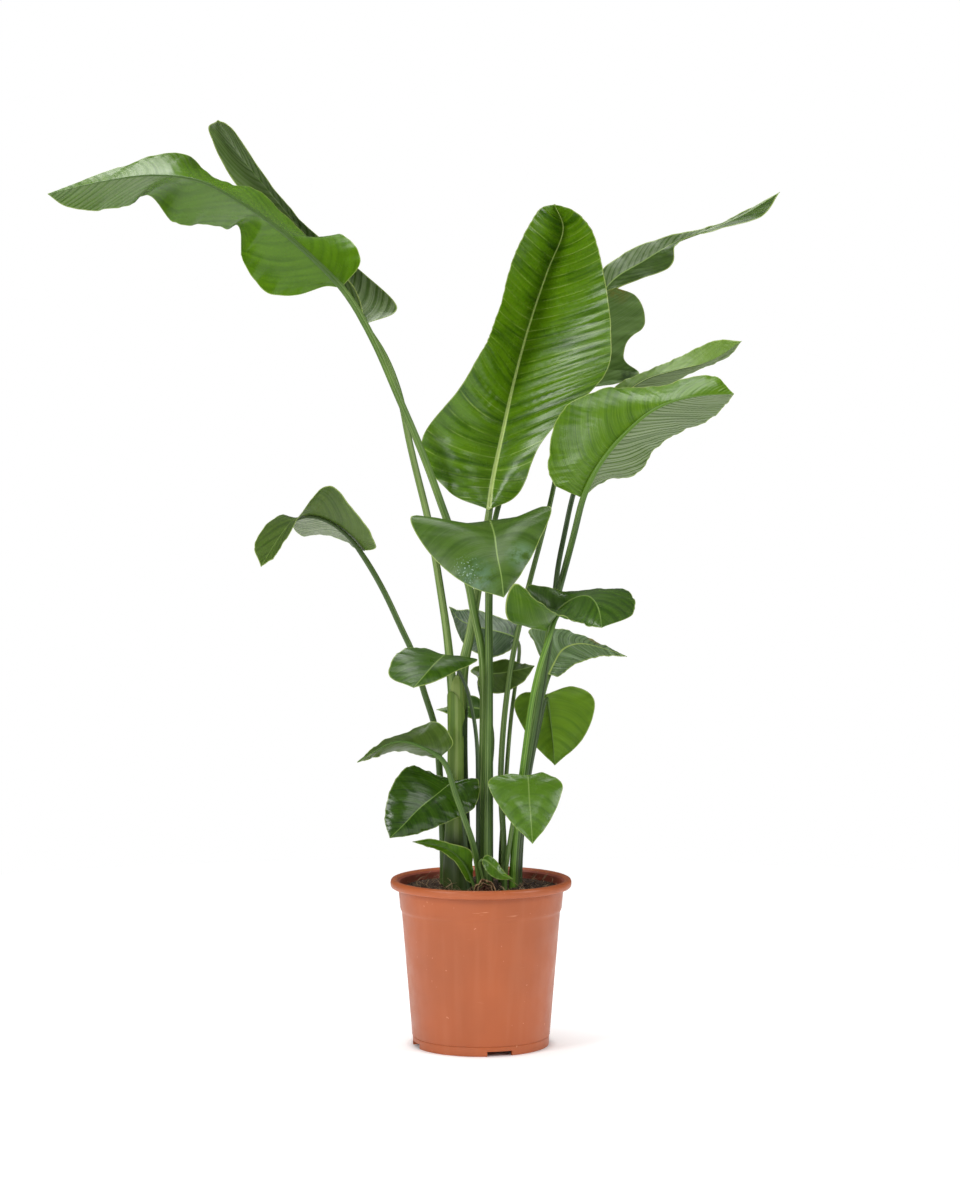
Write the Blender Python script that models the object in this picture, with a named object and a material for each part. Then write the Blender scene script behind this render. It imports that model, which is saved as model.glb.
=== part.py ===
"""Potted bird of paradise: a nursery pot, its soil, and twenty-one leaves on their stalks.

Metres, +Z up. The origin is the centre of the pot's base on the ground, and the plant's
front faces -Y. Every leaf is a stalk, which grows out of the soil, and a blade on its end.
"""

import math

import bmesh
import bpy
import numpy as np

# Driving dimensions
GAP = 0.0003
END_GAP = 0.0007
POT_HEIGHT = 0.221
RIM_RADIUS = 0.120
COLLAR_RADIUS = 0.1095
BODY_RADIUS = 0.1052
BASE_RADIUS = 0.0905
WALL = 0.0018
COLLAR_BOTTOM = 0.180
FLOOR_HEIGHT = 0.008
BOSS_RADIUS = 0.030
POT_SEGMENTS = 48

NOTCH_ANGLES = (-74.0, 16.0, 106.0, 196.0)
NOTCH_WIDTH = 0.034
NOTCH_HEIGHT = 0.0065

SOIL_TOP = 0.203
SOIL_SEGMENTS = 48

TRUNK_TOP = 0.490
TRUNK_AXIS = (-0.031, 0.006)
TRUNK_RINGS = 16
TRUNK_SIDES = 4
TRUNK_RADII = (0.0185, 0.0190, 0.0145, 0.0125, 0.0130, 0.0150)

HUSK_CENTER = (0.005, -0.046)
HUSK_FOOT_RADIUS = 0.0165
HUSK_CREST_RADIUS = 0.0125
HUSK_DEPTH = 0.0075
HUSK_HEIGHT = 0.014
HUSK_HALF_TURN = 75.0
HUSK_THICKNESS = 0.0010

BLADE_COLUMNS = 6
BLADE_THICKNESS = 0.0012
KEEL_THICKNESS = 0.0030
FOOT_RISE = 0.012
BASE_HALF_WIDTH = 0.002
TIP_HALF_WIDTH = 0.001
SEAT = 0.96
TANGENT_STEP = 0.05

# Each leaf: stalk runs from its foot to just under the blade, midrib from the blade's base to its
# tip. left and right are the two margins beside each midrib point but the first and last, as
# seen on the upper side with the tip at the top. bow is how far the left half and the right one
# bulge to the upper side, as a share of their breadth. radius is the stalk's, at foot and end.
LEAVES = {
    "upper_left_outer": dict(
        stalk=[(-0.001, 0.004, SOIL_TOP + GAP), (0.001, 0.004, 0.300), (0.003, 0.003, 0.400),
               (0.0035, 0.001, 0.470), (0.002, -0.001, 0.516), (-0.0004, -0.003, 0.534),
               (-0.009, -0.007, 0.571), (-0.0162, -0.010, 0.612), (-0.030, -0.013, 0.655),
               (-0.046, -0.018, 0.700), (-0.075, -0.024, 0.780), (-0.109, -0.031, 0.860),
               (-0.142, -0.038, 0.935)],
        midrib=[(-0.180, -0.045, 0.998), (-0.202, -0.052, 1.021), (-0.231, -0.062, 1.048),
                (-0.265, -0.074, 1.076), (-0.307, -0.088, 1.104), (-0.360, -0.104, 1.131),
                (-0.419, -0.118, 1.137), (-0.484, -0.130, 1.127), (-0.548, -0.140, 1.111)],
        left=[(-0.157, -0.015, 1.034), (-0.178, 0.005, 1.068), (-0.227, 0.015, 1.068),
              (-0.288, 0.010, 1.125), (-0.343, -0.020, 1.140), (-0.390, -0.070, 1.170),
              (-0.469, -0.105, 1.145)],
        right=[(-0.230, -0.030, 0.991), (-0.282, -0.015, 0.995), (-0.313, -0.010, 1.040),
               (-0.347, -0.015, 1.081), (-0.405, -0.030, 1.088), (-0.453, -0.060, 1.102),
               (-0.514, -0.100, 1.095)],
        radius=(0.0058, 0.0045), bow=(0.05, 0.05)),
    "upper_left_inner": dict(
        stalk=[(-0.0405, 0.004, TRUNK_TOP + GAP), (-0.0455, 0.006, 0.550), (-0.053, 0.008, 0.600),
               (-0.061, 0.010, 0.650), (-0.0705, 0.011, 0.700), (-0.0855, 0.012, 0.760),
               (-0.096, 0.013, 0.805), (-0.107, 0.014, 0.860), (-0.130, 0.016, 0.918)],
        midrib=[(-0.153, 0.020, 0.952), (-0.174, 0.035, 0.987), (-0.206, 0.055, 1.031),
                (-0.248, 0.075, 1.089), (-0.290, 0.090, 1.141), (-0.326, 0.100, 1.186),
                (-0.354, 0.105, 1.231)],
        left=[(-0.171, 0.030, 1.005), (-0.222, 0.045, 1.045), (-0.276, 0.055, 1.094),
              (-0.328, 0.070, 1.144), (-0.364, 0.090, 1.213)],
        right=[(-0.112, 0.035, 0.975), (-0.162, 0.050, 1.026), (-0.226, 0.060, 1.079),
               (-0.273, 0.070, 1.132), (-0.332, 0.090, 1.215)],
        radius=(0.0055, 0.0040), bow=(-0.10, -0.10), seat=0.8),
    "center_large": dict(
        stalk=[(-0.0235, 0.008, TRUNK_TOP + GAP), (-0.0209, 0.008, 0.516), (-0.0163, 0.008, 0.534),
               (-0.0085, 0.008, 0.577), (-0.0043, 0.008, 0.603), (0.003, 0.005, 0.650),
               (0.007, -0.001, 0.680)],
        midrib=[(0.011, -0.012, 0.708), (0.016, 0.000, 0.747), (0.027, 0.012, 0.800),
                (0.043, 0.024, 0.876), (0.063, 0.030, 0.951), (0.087, 0.028, 1.022),
                (0.108, 0.012, 1.076), (0.096, -0.010, 1.109)],
        left=[(-0.045, -0.010, 0.735), (-0.080, -0.008, 0.800), (-0.012, -0.030, 0.897),
              (0.018, -0.036, 0.954), (0.045, -0.036, 1.028), (0.071, -0.032, 1.088)],
        right=[(0.046, -0.025, 0.732), (0.084, -0.030, 0.805), (0.160, -0.036, 0.884),
               (0.169, -0.038, 0.944), (0.159, -0.038, 1.018), (0.142, -0.034, 1.082)],
        radius=(0.0066, 0.0048), bow=(0.06, 0.06), seat=0.4),
    "right_large": dict(
        stalk=[(0.044, -0.002, SOIL_TOP + GAP), (0.047, 0.000, 0.270), (0.058, 0.002, 0.355),
               (0.069, 0.000, 0.425), (0.078, -0.004, 0.480), (0.086, -0.010, 0.530),
               (0.094, -0.018, 0.570), (0.101, -0.028, 0.600), (0.111, -0.048, 0.640),
               (0.123, -0.074, 0.690)],
        midrib=[(0.131, -0.085, 0.725), (0.143, -0.092, 0.753), (0.162, -0.098, 0.783),
                (0.187, -0.100, 0.811), (0.216, -0.100, 0.836), (0.248, -0.098, 0.851),
                (0.285, -0.095, 0.858), (0.325, -0.090, 0.860)],
        left=[(0.162, -0.070, 0.748), (0.202, -0.060, 0.757), (0.227, -0.050, 0.790),
              (0.259, -0.050, 0.811), (0.294, -0.055, 0.826), (0.316, -0.070, 0.847)],
        right=[(0.096, -0.075, 0.743), (0.088, -0.065, 0.775), (0.104, -0.060, 0.837),
               (0.158, -0.060, 0.867), (0.222, -0.060, 0.869), (0.295, -0.065, 0.884)],
        radius=(0.0055, 0.0045), bow=(0.0, -0.10)),
    "upper_right_twisted": dict(
        stalk=[(0.031, -0.004, SOIL_TOP + GAP), (0.030, -0.004, 0.270), (0.026, -0.003, 0.350),
               (0.028, 0.000, 0.400), (0.035, 0.006, 0.470), (0.043, 0.014, 0.520),
               (0.052, 0.022, 0.560), (0.064, 0.030, 0.610), (0.079, 0.042, 0.665),
               (0.097, 0.058, 0.737), (0.108, 0.072, 0.800)],
        midrib=[(0.118, 0.084, 0.860), (0.128, 0.090, 0.905), (0.145, 0.096, 0.958),
                (0.175, 0.100, 1.012), (0.220, 0.104, 1.042), (0.262, 0.108, 1.067),
                (0.311, 0.114, 1.086), (0.357, 0.122, 1.107), (0.405, 0.130, 1.137)],
        left=[(0.098, 0.096, 0.890), (0.115, 0.104, 0.960), (0.160, 0.112, 1.026),
              (0.206, 0.118, 1.060), (0.259, 0.114, 1.078), (0.313, 0.118, 1.090),
              (0.359, 0.126, 1.112)],
        right=[(0.145, 0.084, 0.885), (0.165, 0.088, 0.948), (0.178, 0.092, 1.000),
               (0.252, 0.094, 1.032), (0.264, 0.100, 1.066), (0.309, 0.108, 1.082),
               (0.377, 0.116, 1.102)],
        radius=(0.0042, 0.0030), bow=(0.0, 0.0)),
    "right_back_curled": dict(
        stalk=[(0.012, 0.013, SOIL_TOP + GAP), (0.012, 0.015, 0.350), (0.012, 0.018, 0.500),
               (0.012, 0.020, 0.600), (0.017, 0.026, 0.690), (0.028, 0.034, 0.730)],
        midrib=[(0.042, 0.042, 0.775), (0.054, 0.050, 0.808), (0.072, 0.058, 0.848),
                (0.098, 0.062, 0.893), (0.125, 0.062, 0.935), (0.150, 0.060, 0.975),
                (0.180, 0.056, 1.004)],
        left=[(0.070, 0.040, 0.806), (0.125, 0.040, 0.862), (0.208, 0.046, 0.887),
              (0.194, 0.050, 0.920), (0.216, 0.052, 0.958)],
        right=[(0.020, 0.050, 0.795), (0.030, 0.058, 0.860), (0.060, 0.062, 0.920),
               (0.095, 0.062, 0.965), (0.140, 0.060, 0.992)],
        seat=1.3, radius=(0.0045, 0.0035), bow=(0.0, 0.0)),
    "right_narrow": dict(
        stalk=[(0.047, 0.011, SOIL_TOP + GAP), (0.051, 0.013, 0.270), (0.062, 0.014, 0.355),
               (0.075, 0.013, 0.430), (0.086, 0.010, 0.500), (0.093, 0.008, 0.550),
               (0.097, 0.006, 0.590), (0.101, 0.006, 0.630), (0.111, 0.008, 0.680),
               (0.121, 0.010, 0.727)],
        midrib=[(0.140, 0.014, 0.782), (0.158, 0.016, 0.820), (0.183, 0.016, 0.855),
                (0.215, 0.014, 0.880), (0.256, 0.010, 0.893), (0.302, 0.006, 0.905),
                (0.343, 0.002, 0.931)],
        left=[(0.150, 0.030, 0.830), (0.178, 0.032, 0.872), (0.213, 0.030, 0.890),
              (0.258, 0.026, 0.909), (0.308, 0.020, 0.932)],
        right=[(0.172, 0.026, 0.808), (0.200, 0.028, 0.845), (0.240, 0.026, 0.868),
               (0.280, 0.022, 0.890), (0.325, 0.014, 0.910)],
        radius=(0.0042, 0.0032), bow=(0.0, 0.0)),
    "center_drooping": dict(
        stalk=[(0.009, -0.014, SOIL_TOP + GAP), (0.0095, -0.014, 0.350), (0.0100, -0.013, 0.500),
               (0.0098, -0.012, 0.590), (0.010, -0.014, 0.650)],
        midrib=[(0.012, -0.024, 0.692), (0.014, -0.045, 0.688), (0.018, -0.075, 0.674),
                (0.021, -0.102, 0.652), (0.026, -0.122, 0.627), (0.029, -0.132, 0.600)],
        left=[(0.050, -0.035, 0.699), (0.091, -0.060, 0.713), (0.074, -0.088, 0.668),
              (0.054, -0.110, 0.633)],
        right=[(-0.040, -0.038, 0.688), (-0.091, -0.064, 0.700), (-0.065, -0.092, 0.653),
               (-0.019, -0.115, 0.616)],
        radius=(0.0060, 0.0040), bow=(0.05, 0.05), seat=0.65),
    "right_middle_folded": dict(
        stalk=[(0.041, -0.015, SOIL_TOP + GAP), (0.044, -0.014, 0.270), (0.053, -0.014, 0.355),
               (0.060, -0.018, 0.410), (0.065, -0.024, 0.450), (0.075, -0.038, 0.500),
               (0.083, -0.052, 0.528)],
        midrib=[(0.091, -0.064, 0.551), (0.098, -0.064, 0.571), (0.116, -0.072, 0.591),
                (0.136, -0.100, 0.600), (0.148, -0.145, 0.590), (0.153, -0.170, 0.564)],
        left=[(0.037, -0.115, 0.571), (0.044, -0.155, 0.617), (0.086, -0.160, 0.586),
              (0.129, -0.165, 0.568)],
        right=[(0.063, -0.054, 0.608), (0.111, -0.048, 0.603), (0.187, -0.062, 0.606),
               (0.195, -0.110, 0.578)],
        radius=(0.0055, 0.0045), bow=(-0.22, 0.05), seat=1.35),
    "back_center": dict(
        stalk=[(0.026, 0.040, SOIL_TOP + GAP), (0.034, 0.058, 0.350), (0.042, 0.075, 0.440),
               (0.049, 0.078, 0.490), (0.052, 0.068, 0.520)],
        midrib=[(0.050, 0.052, 0.533), (0.036, 0.056, 0.540), (0.015, 0.062, 0.546),
                (-0.010, 0.070, 0.552), (-0.029, 0.080, 0.560), (-0.043, 0.090, 0.577)],
        left=[(0.038, 0.040, 0.520), (0.015, 0.045, 0.511), (-0.012, 0.056, 0.519),
              (-0.028, 0.072, 0.535)],
        right=[(0.052, 0.065, 0.553), (0.020, 0.080, 0.564), (-0.008, 0.088, 0.573),
               (-0.028, 0.090, 0.572)],
        radius=(0.0035, 0.0025), bow=(0.0, 0.0), seat=0.8),
    "right_back_browned": dict(
        stalk=[(0.044, 0.023, SOIL_TOP + GAP), (0.048, 0.025, 0.270), (0.059, 0.026, 0.355),
               (0.075, 0.026, 0.430)],
        midrib=[(0.090, 0.034, 0.487), (0.098, 0.042, 0.503), (0.110, 0.050, 0.521),
                (0.133, 0.062, 0.528), (0.163, 0.070, 0.522), (0.197, 0.080, 0.510)],
        left=[(0.072, 0.045, 0.528), (0.066, 0.058, 0.548), (0.109, 0.082, 0.546),
              (0.153, 0.086, 0.531)],
        right=[(0.105, 0.028, 0.487), (0.122, 0.036, 0.500), (0.145, 0.050, 0.508),
               (0.167, 0.060, 0.512)],
        radius=(0.0042, 0.0032), bow=(0.0, 0.0)),
    "left_middle_drooping": dict(
        stalk=[(-0.004, -0.008, SOIL_TOP + GAP), (-0.004, -0.012, 0.350), (-0.005, -0.013, 0.400),
               (-0.012, -0.015, 0.450), (-0.024, -0.019, 0.490), (-0.036, -0.024, 0.509)],
        midrib=[(-0.048, -0.032, 0.516), (-0.052, -0.045, 0.515), (-0.062, -0.065, 0.508),
                (-0.073, -0.085, 0.497), (-0.087, -0.100, 0.482)],
        left=[(-0.005, -0.040, 0.513), (-0.030, -0.065, 0.501), (-0.061, -0.085, 0.488)],
        right=[(-0.084, -0.030, 0.528), (-0.110, -0.055, 0.522), (-0.119, -0.080, 0.496)],
        radius=(0.0032, 0.0025), bow=(0.05, 0.05)),
    "center_back_small": dict(
        stalk=[(0.010, 0.028, SOIL_TOP + GAP), (0.009, 0.030, 0.350), (0.008, 0.032, 0.420),
               (0.003, 0.037, 0.455)],
        midrib=[(-0.004, 0.046, 0.482), (0.010, 0.047, 0.487), (0.030, 0.048, 0.490),
                (0.050, 0.047, 0.494), (0.072, 0.045, 0.500)],
        left=[(-0.012, 0.056, 0.494), (0.030, 0.060, 0.507), (0.052, 0.058, 0.503)],
        right=[(0.000, 0.036, 0.470), (0.025, 0.036, 0.463), (0.055, 0.036, 0.478)],
        radius=(0.0032, 0.0025), bow=(0.0, 0.0)),
    "right_heart": dict(
        stalk=[(0.052, 0.035, SOIL_TOP + GAP), (0.057, 0.037, 0.300), (0.068, 0.037, 0.375),
               (0.079, 0.038, 0.425)],
        midrib=[(0.088, 0.050, 0.458), (0.090, 0.056, 0.449), (0.093, 0.056, 0.427),
                (0.096, 0.053, 0.400), (0.099, 0.046, 0.366)],
        left=[(0.056, 0.062, 0.461), (0.045, 0.062, 0.442), (0.068, 0.058, 0.397)],
        right=[(0.127, 0.062, 0.470), (0.153, 0.064, 0.450), (0.138, 0.058, 0.402)],
        seat=1.4, radius=(0.0035, 0.0028), bow=(0.05, 0.05)),
    "left_low_arching": dict(
        stalk=[(-0.001, -0.030, SOIL_TOP + GAP), (-0.004, -0.036, 0.240), (-0.010, -0.050, 0.272),
               (-0.020, -0.060, 0.303), (-0.034, -0.062, 0.341)],
        midrib=[(-0.052, -0.060, 0.387), (-0.061, -0.062, 0.393), (-0.077, -0.068, 0.402),
                (-0.098, -0.076, 0.410), (-0.122, -0.084, 0.407), (-0.160, -0.094, 0.385)],
        left=[(-0.036, -0.042, 0.406), (-0.059, -0.030, 0.431), (-0.091, -0.040, 0.421),
              (-0.128, -0.064, 0.409)],
        right=[(-0.065, -0.046, 0.386), (-0.086, -0.036, 0.390), (-0.109, -0.046, 0.395),
               (-0.135, -0.068, 0.390)],
        radius=(0.0050, 0.0042), bow=(0.0, 0.0)),
    "left_low_glossy": dict(
        stalk=[(-0.016, -0.022, SOIL_TOP + GAP), (-0.022, -0.021, 0.290), (-0.027, -0.020, 0.328)],
        midrib=[(-0.034, -0.026, 0.351), (-0.045, -0.034, 0.345), (-0.061, -0.046, 0.335),
                (-0.081, -0.056, 0.320), (-0.101, -0.064, 0.300), (-0.119, -0.068, 0.283)],
        left=[(-0.004, -0.026, 0.353), (-0.008, -0.034, 0.320), (-0.040, -0.046, 0.303),
              (-0.084, -0.058, 0.287)],
        right=[(-0.062, -0.024, 0.361), (-0.094, -0.030, 0.373), (-0.117, -0.044, 0.348),
               (-0.126, -0.056, 0.309)],
        radius=(0.0032, 0.0026), bow=(0.05, 0.05), seat=1.2),
    "right_low_heart": dict(
        stalk=[(0.031, -0.021, SOIL_TOP + GAP), (0.036, -0.023, 0.260), (0.045, -0.028, 0.313),
               (0.0545, -0.029, 0.346)],
        midrib=[(0.061, -0.036, 0.358), (0.062, -0.046, 0.351), (0.063, -0.060, 0.332),
                (0.065, -0.072, 0.307), (0.067, -0.080, 0.277)],
        left=[(0.084, -0.030, 0.362), (0.107, -0.044, 0.348), (0.091, -0.064, 0.307)],
        right=[(0.030, -0.034, 0.361), (0.009, -0.048, 0.351), (0.034, -0.066, 0.310)],
        radius=(0.0035, 0.0028), bow=(0.05, 0.05), seat=1.15),
    "base_left_small": dict(
        stalk=[(-0.009, -0.034, SOIL_TOP + GAP)],
        midrib=[(-0.010, -0.034, 0.217), (-0.016, -0.034, 0.234), (-0.027, -0.034, 0.251),
                (-0.045, -0.034, 0.265), (-0.068, -0.034, 0.271), (-0.090, -0.034, 0.274)],
        left=[(-0.011, -0.028, 0.240), (-0.014, -0.030, 0.262), (-0.040, -0.030, 0.271),
              (-0.066, -0.030, 0.277)],
        right=[(-0.020, -0.030, 0.224), (-0.033, -0.030, 0.245), (-0.053, -0.030, 0.261),
               (-0.070, -0.031, 0.267)],
        seat=1.3, radius=(0.0026, 0.0022), bow=(0.0, 0.0)),
    "base_center_small": dict(
        stalk=[(0.005, -0.043, SOIL_TOP + GAP)],
        midrib=[(0.002, -0.048, 0.252), (0.008, -0.050, 0.250), (0.018, -0.052, 0.242),
                (0.028, -0.053, 0.233), (0.043, -0.053, 0.227)],
        left=[(0.008, -0.046, 0.258), (0.019, -0.049, 0.252), (0.031, -0.050, 0.236)],
        right=[(0.003, -0.050, 0.244), (0.010, -0.054, 0.234), (0.023, -0.054, 0.227)],
        seat=1.55, radius=(0.0028, 0.0022), bow=(0.0, 0.0)),
    "left_arching": dict(
        stalk=[(-0.050, 0.034, SOIL_TOP + GAP), (-0.052, 0.030, 0.300), (-0.055, 0.026, 0.360),
               (-0.058, 0.022, 0.400), (-0.063, 0.020, 0.430), (-0.070, 0.018, 0.450),
               (-0.078, 0.016, 0.475), (-0.090, 0.012, 0.520), (-0.102, 0.008, 0.545),
               (-0.128, 0.000, 0.602)],
        midrib=[(-0.157, -0.010, 0.652), (-0.172, -0.015, 0.672), (-0.195, -0.022, 0.691),
                (-0.221, -0.032, 0.701), (-0.244, -0.045, 0.696), (-0.263, -0.060, 0.673),
                (-0.285, -0.075, 0.637)],
        left=[(-0.139, -0.030, 0.662), (-0.164, -0.050, 0.706), (-0.200, -0.070, 0.741),
              (-0.239, -0.085, 0.694), (-0.264, -0.085, 0.654)],
        right=[(-0.168, 0.010, 0.657), (-0.201, 0.030, 0.673), (-0.240, 0.030, 0.675),
               (-0.264, 0.000, 0.703), (-0.295, -0.040, 0.668)],
        radius=(0.0050, 0.0038), bow=(0.0, 0.0)),
    "back_low": dict(
        stalk=[(0.004, 0.042, SOIL_TOP + GAP), (0.012, 0.048, 0.350), (0.014, 0.050, 0.420)],
        midrib=[(0.008, 0.053, 0.438), (-0.004, 0.055, 0.441), (-0.020, 0.057, 0.443),
                (-0.038, 0.058, 0.441), (-0.060, 0.058, 0.440)],
        left=[(-0.002, 0.048, 0.428), (-0.020, 0.048, 0.430), (-0.040, 0.052, 0.434)],
        right=[(-0.004, 0.064, 0.455), (-0.020, 0.066, 0.457), (-0.040, 0.064, 0.446)],
        radius=(0.0030, 0.0024), bow=(0.0, 0.0)),
}


def blend(values, knots, where):
    """Smooth values at the places in where, through values set at the places in knots."""
    v = np.array(values, float)
    v = v.reshape(len(v), -1)
    knots = np.asarray(knots, float)
    gaps = np.diff(knots)[:, None]
    slopes = np.diff(v, axis=0) / gaps
    inner = (slopes[:-1] * gaps[1:] + slopes[1:] * gaps[:-1]) / (gaps[:-1] + gaps[1:])
    tangents = np.concatenate([slopes[:1], inner, slopes[-1:]])
    where = np.asarray(where, float)
    k = np.clip(np.searchsorted(knots, where, side="right") - 1, 0, len(knots) - 2)
    width = gaps[k]
    t = (where - knots[k])[:, None] / width
    return (
        (2 * t**3 - 3 * t**2 + 1) * v[k]
        + (t**3 - 2 * t**2 + t) * width * tangents[k]
        + (3 * t**2 - 2 * t**3) * v[k + 1]
        + (t**3 - t**2) * width * tangents[k + 1]
    )


def run_length(line):
    """How far along the line each of its points is."""
    steps = np.linalg.norm(np.diff(np.asarray(line, float), axis=0), axis=1)
    return np.concatenate([[0.0], np.cumsum(steps)])


def unit(vectors):
    return vectors / np.linalg.norm(vectors, axis=-1, keepdims=True)


def along(line, shares):
    """Points at the shares of the line's length."""
    run = run_length(line)
    places = np.asarray(shares) * run[-1]
    return np.stack([np.interp(places, run, line[:, axis]) for axis in range(3)], axis=1)


def stalk_points(leaf, count):
    """Points up the stalk, evenly spaced from its upright foot to just short of the blade."""
    foot = leaf["stalk"][0]
    path = [foot, (foot[0], foot[1], foot[2] + FOOT_RISE)] + leaf["stalk"][1:] + leaf["midrib"][:2]
    knots = run_length(path)
    fine = blend(path, knots, np.linspace(0.0, knots[-2], 40 * len(path)))
    length = run_length(fine)[-1]
    rings = np.linspace(FOOT_RISE, length - END_GAP, count - 1) / length
    return along(fine, np.concatenate([[0.0], rings]))


def blade_points(leaf, rows, across):
    """The blade's upper face: a point for each row from base to tip, as a share of the stations,
    and each place across it, from -1 at the left margin to 1 at the right one."""
    midrib = np.array(leaf["midrib"])
    ends = {}
    for half in ("left", "right"):
        margin = np.array(leaf[half])
        near = midrib[0] + unit(margin[0] - midrib[0]) * BASE_HALF_WIDTH
        far = midrib[-1] + unit(margin[-1] - midrib[-1]) * TIP_HALF_WIDTH
        ends[half] = np.vstack([near, margin, far])
    knots = np.arange(len(midrib))
    where = rows * knots[-1]
    middle = blend(midrib, knots, where)
    before = blend(midrib, knots, np.maximum(where - TANGENT_STEP, 0.0))
    after = blend(midrib, knots, np.minimum(where + TANGENT_STEP, knots[-1]))
    ahead = unit(after - before)
    margins = {half: blend(ends[half], knots, where) for half in ends}
    up = unit(np.cross(margins["right"] - margins["left"], ahead))
    lift = (leaf.get("seat", SEAT) * leaf["radius"][1] + BLADE_THICKNESS) * (1.0 - rows) ** 2
    middle = middle + up * lift[:, None]
    points = np.zeros((len(rows), len(across), 3))
    for column, place in enumerate(across):
        half, bow = ("left", leaf["bow"][0]) if place < 0 else ("right", leaf["bow"][1])
        share = abs(place)
        rib = margins[half] + up * lift[:, None] - middle
        breadth = np.linalg.norm(rib, axis=1, keepdims=True)
        points[:, column] = middle + rib * share + up * breadth * bow * 4.0 * share * (1.0 - share)
    return points


def material(name, colour, roughness):
    made = bpy.data.materials.new(name)
    made.use_nodes = True
    shader = made.node_tree.nodes["Principled BSDF"]
    shader.inputs["Base Color"].default_value = (*colour, 1.0)
    shader.inputs["Roughness"].default_value = roughness
    shader.inputs["Metallic"].default_value = 0.0
    return made


def add_object(name, data, finish):
    made = bpy.data.objects.new(name, data)
    bpy.context.scene.collection.objects.link(made)
    data.materials.append(finish)
    return made


def make_blade(name, leaf, finish):
    """A thin sheet that is thicker along its midrib."""
    long = 2 * (len(leaf["midrib"]) - 1)
    wide = BLADE_COLUMNS
    inner = np.linspace(1.0, long - 1.0, long - 1) / long
    rows = np.concatenate([[0.0, 0.3 / long], inner, [1.0 - 0.35 / long, 1.0]])
    points = blade_points(leaf, rows, np.linspace(-1.0, 1.0, wide + 1))
    sheet = bmesh.new()
    bmesh.ops.create_grid(sheet, x_segments=wide, y_segments=len(rows) - 1, size=1.0)
    order = sorted(sheet.verts, key=lambda v: (round(v.co.y, 4), round(v.co.x, 4)))
    for index, vertex in enumerate(order):
        vertex.co = points[index // (wide + 1), index % (wide + 1)]
    sheet.verts.index_update()
    middle = [v.index for i, v in enumerate(order) if i % (wide + 1) == wide // 2]
    mesh = bpy.data.meshes.new(name)
    sheet.to_mesh(mesh)
    sheet.free()
    blade = add_object(name, mesh, finish)
    keel = blade.vertex_groups.new(name="midrib")
    keel.add(middle, 1.0, "REPLACE")
    solid = blade.modifiers.new("thickness", "SOLIDIFY")
    solid.thickness = KEEL_THICKNESS
    solid.offset = -1.0
    solid.use_even_offset = False
    solid.vertex_group = keel.name
    solid.thickness_vertex_group = BLADE_THICKNESS / KEEL_THICKNESS
    return blade


def make_tube(name, line, radii, finish, corners):
    """A round stem along a line, with radii spaced evenly from its foot to its end."""
    curve = bpy.data.curves.new(name, "CURVE")
    curve.dimensions = "3D"
    curve.bevel_depth = 1.0
    curve.bevel_resolution = corners
    curve.use_fill_caps = True
    curve.render_resolution_u = 0
    spline = curve.splines.new("POLY")
    spline.points.add(len(line) - 1)
    shares = np.linspace(0.0, 1.0, len(line))
    sizes = np.interp(shares, np.linspace(0.0, 1.0, len(radii)), radii)
    for point, place, size in zip(spline.points, line, sizes):
        point.co = (*place, 1.0)
        point.radius = size
    return add_object(name, curve, finish)


def spin_profile(name, profile, segments, finish):
    """A solid of revolution about Z from a profile whose two ends lie on the axis."""
    turned = bmesh.new()
    corners = [turned.verts.new((radius, 0.0, height)) for radius, height in profile]
    edges = [turned.edges.new(pair) for pair in zip(corners, corners[1:])]
    bmesh.ops.spin(
        turned, geom=corners + edges, cent=(0, 0, 0), axis=(0, 0, 1),
        angle=2 * math.pi, steps=segments, use_merge=True,
    )
    bmesh.ops.remove_doubles(turned, verts=turned.verts, dist=0.00005)
    bmesh.ops.recalc_face_normals(turned, faces=turned.faces)
    mesh = bpy.data.meshes.new(name)
    turned.to_mesh(mesh)
    turned.free()
    return add_object(name, mesh, finish)


def make_notch_cutter(finish):
    """Four blocks across the foot ring, which leave the drain notches."""
    block = bmesh.new()
    for angle in NOTCH_ANGLES:
        made = bmesh.ops.create_cube(block, size=1.0)["verts"]
        bmesh.ops.scale(block, vec=(NOTCH_WIDTH, 0.020, 2 * NOTCH_HEIGHT), verts=made)
        bmesh.ops.translate(block, vec=(0.0, -BASE_RADIUS + 0.002, 0.0), verts=made)
        turn = math.radians(angle)
        for vertex in made:
            x, y = vertex.co.x, vertex.co.y
            vertex.co.x = x * math.cos(turn) - y * math.sin(turn)
            vertex.co.y = x * math.sin(turn) + y * math.cos(turn)
    mesh = bpy.data.meshes.new("notch_cutter")
    block.to_mesh(mesh)
    block.free()
    cutter = add_object("notch_cutter", mesh, finish)
    cutter.hide_render = True
    cutter.display_type = "WIRE"
    return cutter


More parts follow.
